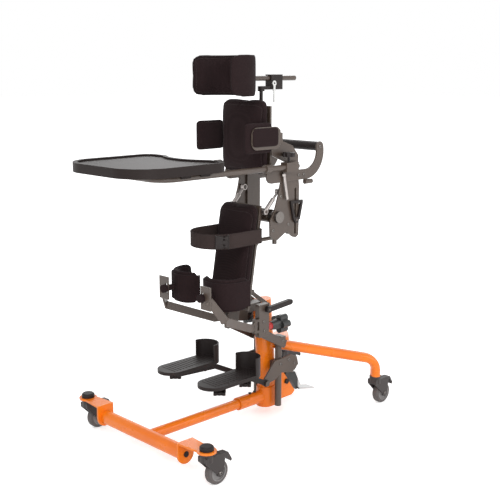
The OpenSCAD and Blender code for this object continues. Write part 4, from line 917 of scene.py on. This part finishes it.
def finish_piece(name, shape, finish, body):
    mesh = bpy.data.meshes.new(name)
    bmesh.ops.recalc_face_normals(shape, faces=shape.faces)
    shape.to_mesh(mesh)
    shape.free()
    piece = bpy.data.objects.new(name, mesh)
    bpy.context.scene.collection.objects.link(piece)
    mesh.shade_smooth()
    mesh.materials.append(finish)
    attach(piece, body)
    return piece


buckle = bmesh.new()
BUCKLE_TURN = math.radians(58)
belt_middle = at(0, BELT_FRONT + BELT_HALF, BELT_LOW + BELT_TALL / 2)
turn = Matrix.Translation(belt_middle) @ Matrix.Rotation(BUCKLE_TURN, 4, "Z")


def on_buckle(x, out, z):
    return turn @ Matrix.Translation(Vector((x, -BELT_HALF - out, z)) * MM)


rounded_box(buckle, (22, 7, 42), on_buckle(-8, 4.5, 0), 2.2)
rounded_box(buckle, (12, 6, 40), on_buckle(13, 4.0, 0), 2.0)
rounded_box(buckle, (14, 4, 14), on_buckle(5, 7.0, 0), 1.6)
for up in (-13, 13):
    rounded_box(buckle, (16, 5.5, 6), on_buckle(5, 5.0, up), 1.8)
rounded_box(buckle, (4, 8, 45), on_buckle(20, 4.0, 0), 1.6)
rounded_box(buckle, (4, 8, 45), on_buckle(-20, 4.0, 0), 1.6)
clasp = finish_piece("hip_belt_buckle", buckle, black_plastic, "base")
print("buckle faces", len(clasp.data.polygons))

# %% [markdown]
# ## Screws
# The plates are held by button-head socket screws. They are all alike, so one bmesh
# head is set on a cloud of points by Geometry Nodes: each point carries the way that
# its screw faces. The result becomes a plain mesh, one for each body.

# %% Screw head and tree


def screw_head(radius, height):
    """A domed head with a hexagon socket, standing on the XY plane, in metres."""
    rings = [(1.0, 0.0), (1.0, 0.35), (0.86, 0.72), (0.62, 0.95), (0.5, 1.0)]
    shape = bmesh.new()
    sides = 18
    levels = []
    for r, h in rings:
        levels.append([
            shape.verts.new((
                radius * r * math.cos(math.tau * k / sides),
                radius * r * math.sin(math.tau * k / sides),
                height * h,
            ))
            for k in range(sides)
        ])
    inner = []
    for k in range(sides):
        a = math.tau * k / sides
        hexagon = math.cos(math.pi / 6) / math.cos((a % (math.pi / 3)) - math.pi / 6)
        inner.append((0.46 * radius * hexagon * math.cos(a), 0.46 * radius * hexagon * math.sin(a)))
    levels.append([shape.verts.new((x, y, height)) for x, y in inner])
    levels.append([shape.verts.new((x * 0.97, y * 0.97, height * 0.4)) for x, y in inner])
    for first, second in zip(levels, levels[1:]):
        for k in range(sides):
            m = (k + 1) % sides
            shape.faces.new((first[k], first[m], second[m], second[k]))
    shape.faces.new(levels[-1])
    shape.faces.new(list(reversed(levels[0])))
    bmesh.ops.recalc_face_normals(shape, faces=shape.faces)
    mesh = bpy.data.meshes.new("screw_head")
    shape.to_mesh(mesh)
    shape.free()
    return bpy.data.objects.new("screw_head", mesh)


def scatter_tree(name):
    tree, start, end = new_tree(
        name,
        [
            ("Part", "NodeSocketObject", None),
            ("Size", "NodeSocketFloat", 1.0),
            ("Finish", "NodeSocketMaterial", silver_steel),
        ],
    )
    part = add(tree, "GeometryNodeObjectInfo", {"Object": start.outputs["Part"]})
    dots = add(tree, "GeometryNodeMeshToPoints", {"Mesh": start.outputs["Geometry"]})
    facing = add(tree, "GeometryNodeInputNamedAttribute", {"Name": "facing"}, data_type="FLOAT_VECTOR")
    stand = add(tree, "FunctionNodeAlignRotationToVector", {"Vector": facing.outputs[0]}, axis="Z")
    copies = add(
        tree,
        "GeometryNodeInstanceOnPoints",
        {
            "Points": dots.outputs[0],
            "Instance": part.outputs["Geometry"],
            "Rotation": stand.outputs[0],
            "Scale": start.outputs["Size"],
        },
    )
    real = add(tree, "GeometryNodeRealizeInstances", {"Geometry": copies.outputs[0]})
    coated = {"Geometry": real.outputs[0], "Material": start.outputs["Finish"]}
    coat = add(tree, "GeometryNodeSetMaterial", coated)
    tree.links.new(coat.outputs[0], end.inputs[0])
    return tree


head = screw_head(0.0055, 0.0032)
scatter_nodes = scatter_tree("screws")


def scatter(name, spots, part, body, finish, size=1.0):
    """Sets a part on (point, facing) spots and rides the result on a body."""
    mesh = bpy.data.meshes.new(name)
    mesh.from_pydata([spot for spot, _ in spots], [], [])
    facing = mesh.attributes.new("facing", "FLOAT_VECTOR", "POINT")
    for item, (_, way) in zip(facing.data, spots):
        item.vector = way
    piece = bpy.data.objects.new(name, mesh)
    bpy.context.scene.collection.objects.link(piece)
    grow(piece, scatter_nodes, Part=part, Size=size, Finish=finish)
    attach(piece, body)
    return piece


def both_sides(points, way):
    """Spots on the left and, mirrored, on the right."""
    spots = []
    for x, y, z in points:
        spots.append((at(x, y, z), way))
        spots.append((at(-x, y, z), (-way[0], way[1], way[2])))
    return spots


print("screw head faces", len(head.data.polygons))


# %% [markdown]
# Where the screws sit follows the plates: on the outer faces of the leg brackets, hip
# plates and handle brackets, and on the knee posts' blocks.

# %% Screws of each body
OUT, UP = (1, 0, 0), (0, 0, 1)
BRACKET_FACE, HIP_FACE, HANDLE_FACE = 71.5, 99, 105
POST_FACE, BLOCK_FACE = 77.5, 85.5
POST_Y = 545.93
bracket_places = [(-8, 190), (34, 196), (62, 178)]
base_spots = both_sides([(BRACKET_FACE, POST_Y + y, z) for y, z in bracket_places], OUT)
collar_screw = (31, 518, 395)
base_spots += both_sides([collar_screw], OUT)
scatter("screws_base", base_spots, head, "base", dark_steel)
hip_places = [(14, 66), (-22, -42), (50, -30)]
hip_spots = both_sides([(HIP_FACE, HIP_Y + y, HIP_Z + z) for y, z in hip_places], OUT)
tail_places = [(HANDLE_FACE, HIP_Y + y, HIP_Z + 131) for y in (92, 116)]
grip_end = (HANDLE_FACE, 685.7, 926)
hip_spots += both_sides(tail_places + [grip_end], OUT)
scatter("screws_hip", hip_spots, head, "hip_frame", dark_steel)
post_places = [(POST_FACE, -4, 272), (BLOCK_FACE, -100, 330), (BLOCK_FACE, -104, 362)]
for side, s in (("left", 1), ("right", -1)):
    post_spots = [(at(s * x, POST_Y + y, z), (s, 0, 0)) for x, y, z in post_places]
    scatter("screws_knee_post_" + side, post_spots, head, "knee_post_" + side, dark_steel)

stems = (("front_left", 296, 0), ("front_right", -296, 0), ("rear_left", 226, 864), ("rear_right", -226, 864))
FORK_FACE, TRAIL, AXLE_Z = 18.5, 36, 37.5
for corner, x, y in stems:
    axle_spots = [(at(x + side * FORK_FACE, y + TRAIL, AXLE_Z), (side, 0, 0)) for side in (-1, 1)]
    scatter("axle_bolts_" + corner, axle_spots, head, "caster_" + corner, dark_steel, 1.1)
print("screws on base", len(base_spots), "hip frame", len(hip_spots), "each knee post", len(post_spots))

# %% [markdown]
# ## Lock lever and rail plugs
# A flat lever beside the hip joint locks the recline, and round plugs close the open
# rear ends of the tray's rails.

# %% Lock lever and plugs


def beside(point_a, point_b, x):
    """Middle, length and turn of a bar that lies flat beside a plate, between two (y, z) points."""
    run = Vector((0, point_b[0] - point_a[0], point_b[1] - point_a[1]))
    middle = at(x, (point_a[0] + point_b[0]) / 2, (point_a[1] + point_b[1]) / 2)
    lean = math.atan2(-run.y, run.z)
    return Matrix.Translation(middle) @ Matrix.Rotation(lean, 4, "X"), run.length


LEVER_X = 107.2
LEVER_TOP, LEVER_END, LEVER_PIVOT = (511, 842), (527, 762), (510, 844)
RAIL_X, RAIL_Z = 116, 870.5
PLUG_SIDES = 28
PLUG_PROFILE = [(8.8, 0.0), (8.8, 2.0), (7.6, 3.4), (5.0, 4.2), (0.0, 4.5)]
rail_end = (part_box("tray_rails")[1][1] - STEM_Y) / MM
for side, s in (("left", 1), ("right", -1)):
    lock = bmesh.new()
    place, length = beside(LEVER_TOP, LEVER_END, s * LEVER_X)
    rounded_box(lock, (4, 10, length), place, 1.4)
    pivot = Matrix.Translation(at(s * LEVER_X, *LEVER_PIVOT)) @ Matrix.Scale(0.55, 4, (1, 0, 0))
    bmesh.ops.create_uvsphere(lock, u_segments=24, v_segments=14, radius=8 * MM, matrix=pivot)
    finish_piece("lock_lever_" + side, lock, dull_steel, "hip_frame")
    plug = bmesh.new()
    rings = []
    for r, out in PLUG_PROFILE[:-1]:
        rings.append([
            plug.verts.new(at(s * RAIL_X + r * math.cos(a), rail_end + out, RAIL_Z + r * math.sin(a)))
            for a in (math.tau * k / PLUG_SIDES for k in range(PLUG_SIDES))
        ])
    tip = plug.verts.new(at(s * RAIL_X, rail_end + PLUG_PROFILE[-1][1], RAIL_Z))
    for k in range(PLUG_SIDES):
        m = (k + 1) % PLUG_SIDES
        for first, second in zip(rings, rings[1:]):
            plug.faces.new((first[k], first[m], second[m], second[k]))
        plug.faces.new((rings[-1][k], rings[-1][m], tip))
    plug.faces.new(rings[0])
    finish_piece("rail_plug_" + side, plug, black_plastic, "tray")
print("lock levers", round(length), "mm long, rails end at", round(rail_end), "mm")

# %% [markdown]
# ## Tread ribs on the foot plates
# Shallow ribs moulded across the foot plates give grip. One rib with rounded ends is
# repeated along the plate by the same scattering tree.

# %% Tread ribs
RIB_SIZE = (66, 3.4, 2.4)
RIB_FRONT, RIB_END, RIB_PITCH = 186, 372, 13
FOOT_X, FOOT_TOP = 100, 214
rib_shape = bmesh.new()
rounded_box(rib_shape, RIB_SIZE, Matrix.Identity(4), 1.0, 2)
rib_mesh = bpy.data.meshes.new("tread_rib")
rib_shape.to_mesh(rib_mesh)
rib_shape.free()
rib = bpy.data.objects.new("tread_rib", rib_mesh)
for side, s in (("left", 1), ("right", -1)):
    rib_spots = [(at(s * FOOT_X, y, FOOT_TOP), UP) for y in range(RIB_FRONT, RIB_END, RIB_PITCH)]
    scatter("foot_ribs_" + side, rib_spots, rib, "foot_plate_" + side, black_plastic)
print("ribs on each foot plate", len(rib_spots))

# %% [markdown]
# ## Studio
# The picture is a catalogue cut-out on white. A large pale floor, a bright even world
# and four soft lamps give the same calm light. To the camera the floor also glows,
# more so further out, so that it is white but keeps a soft shadow under the frame.

# %% Floor, world and lamps


def seen_rays(tree):
    """1 for the rays that show the background: the camera's, and those mirrored or let through."""
    ray = add(tree, "ShaderNodeLightPath").outputs
    direct = {0: ray["Is Camera Ray"], 1: ray["Is Glossy Ray"]}
    both = add(tree, "ShaderNodeMath", direct, operation="MAXIMUM")
    every = {0: both.outputs[0], 1: ray["Is Transmission Ray"]}
    return add(tree, "ShaderNodeMath", every, operation="MAXIMUM").outputs[0]


FLOOR_HALF = 30
floor_mesh = bpy.data.meshes.new("floor")
floor_corners = [(x * FLOOR_HALF, y * FLOOR_HALF, 0) for x, y in ((-1, -1), (1, -1), (1, 1), (-1, 1))]
floor_mesh.from_pydata(floor_corners, [], [(0, 1, 2, 3)])
floor = bpy.data.objects.new("floor", floor_mesh)
bpy.context.scene.collection.objects.link(floor)
floor_finish = bpy.data.materials.new("pale_floor")
floor_finish.use_nodes = True
tree = floor_finish.node_tree
tree.nodes.clear()
matt = add(tree, "ShaderNodeBsdfDiffuse", {"Color": (0.93, 0.93, 0.93, 1)}).outputs[0]
glow = add(tree, "ShaderNodeEmission", {"Color": (1, 1, 1, 1)})
seen = seen_rays(tree)
spot = add(tree, "ShaderNodeTexCoord").outputs["Object"]
away = add(tree, "ShaderNodeVectorMath", {0: spot}, operation="LENGTH").outputs["Value"]
further = spread(tree, away, 0.7, 2.0, 0.4, 1.0)
amount = add(tree, "ShaderNodeMath", {0: seen, 1: further}, operation="MULTIPLY")
tree.links.new(amount.outputs[0], glow.inputs["Strength"])
mixed = add(tree, "ShaderNodeAddShader", {0: matt, 1: glow.outputs[0]}).outputs[0]
tree.links.new(mixed, add(tree, "ShaderNodeOutputMaterial").inputs[0])
floor_mesh.materials.append(floor_finish)

world = bpy.data.worlds.new("studio")
bpy.context.scene.world = world
world.use_nodes = True
tree = world.node_tree
tree.nodes.clear()
seen = seen_rays(tree)
strength = spread(tree, seen, 0.0, 1.0, 0.55, 1.0)
sky = add(tree, "ShaderNodeBackground", {"Color": (1, 1, 1, 1), "Strength": strength})
tree.links.new(sky.outputs[0], add(tree, "ShaderNodeOutputWorld").inputs[0])

LAMPS = (
    ("key", (1.6, -2.6, 2.9), 2.2, 75),
    ("fill", (3.0, 1.4, 1.9), 2.4, 40),
    ("back", (-2.2, 2.0, 2.6), 2.0, 40),
    ("low", (2.4, -1.2, 0.7), 1.2, 16),
)
LAMP_AIM = Vector((0, 0, 0.6))
for name, place, size, power_w in LAMPS:
    lamp_data = bpy.data.lights.new(name, "AREA")
    lamp_data.size = size
    lamp_data.energy = power_w
    lamp = bpy.data.objects.new(name, lamp_data)
    lamp.location = place
    lamp.rotation_euler = (LAMP_AIM - Vector(place)).to_track_quat("-Z", "Y").to_euler()
    bpy.context.scene.collection.objects.link(lamp)
bpy.context.scene.view_settings.view_transform = "Standard"
print("lamps", [name for name, *_ in LAMPS])
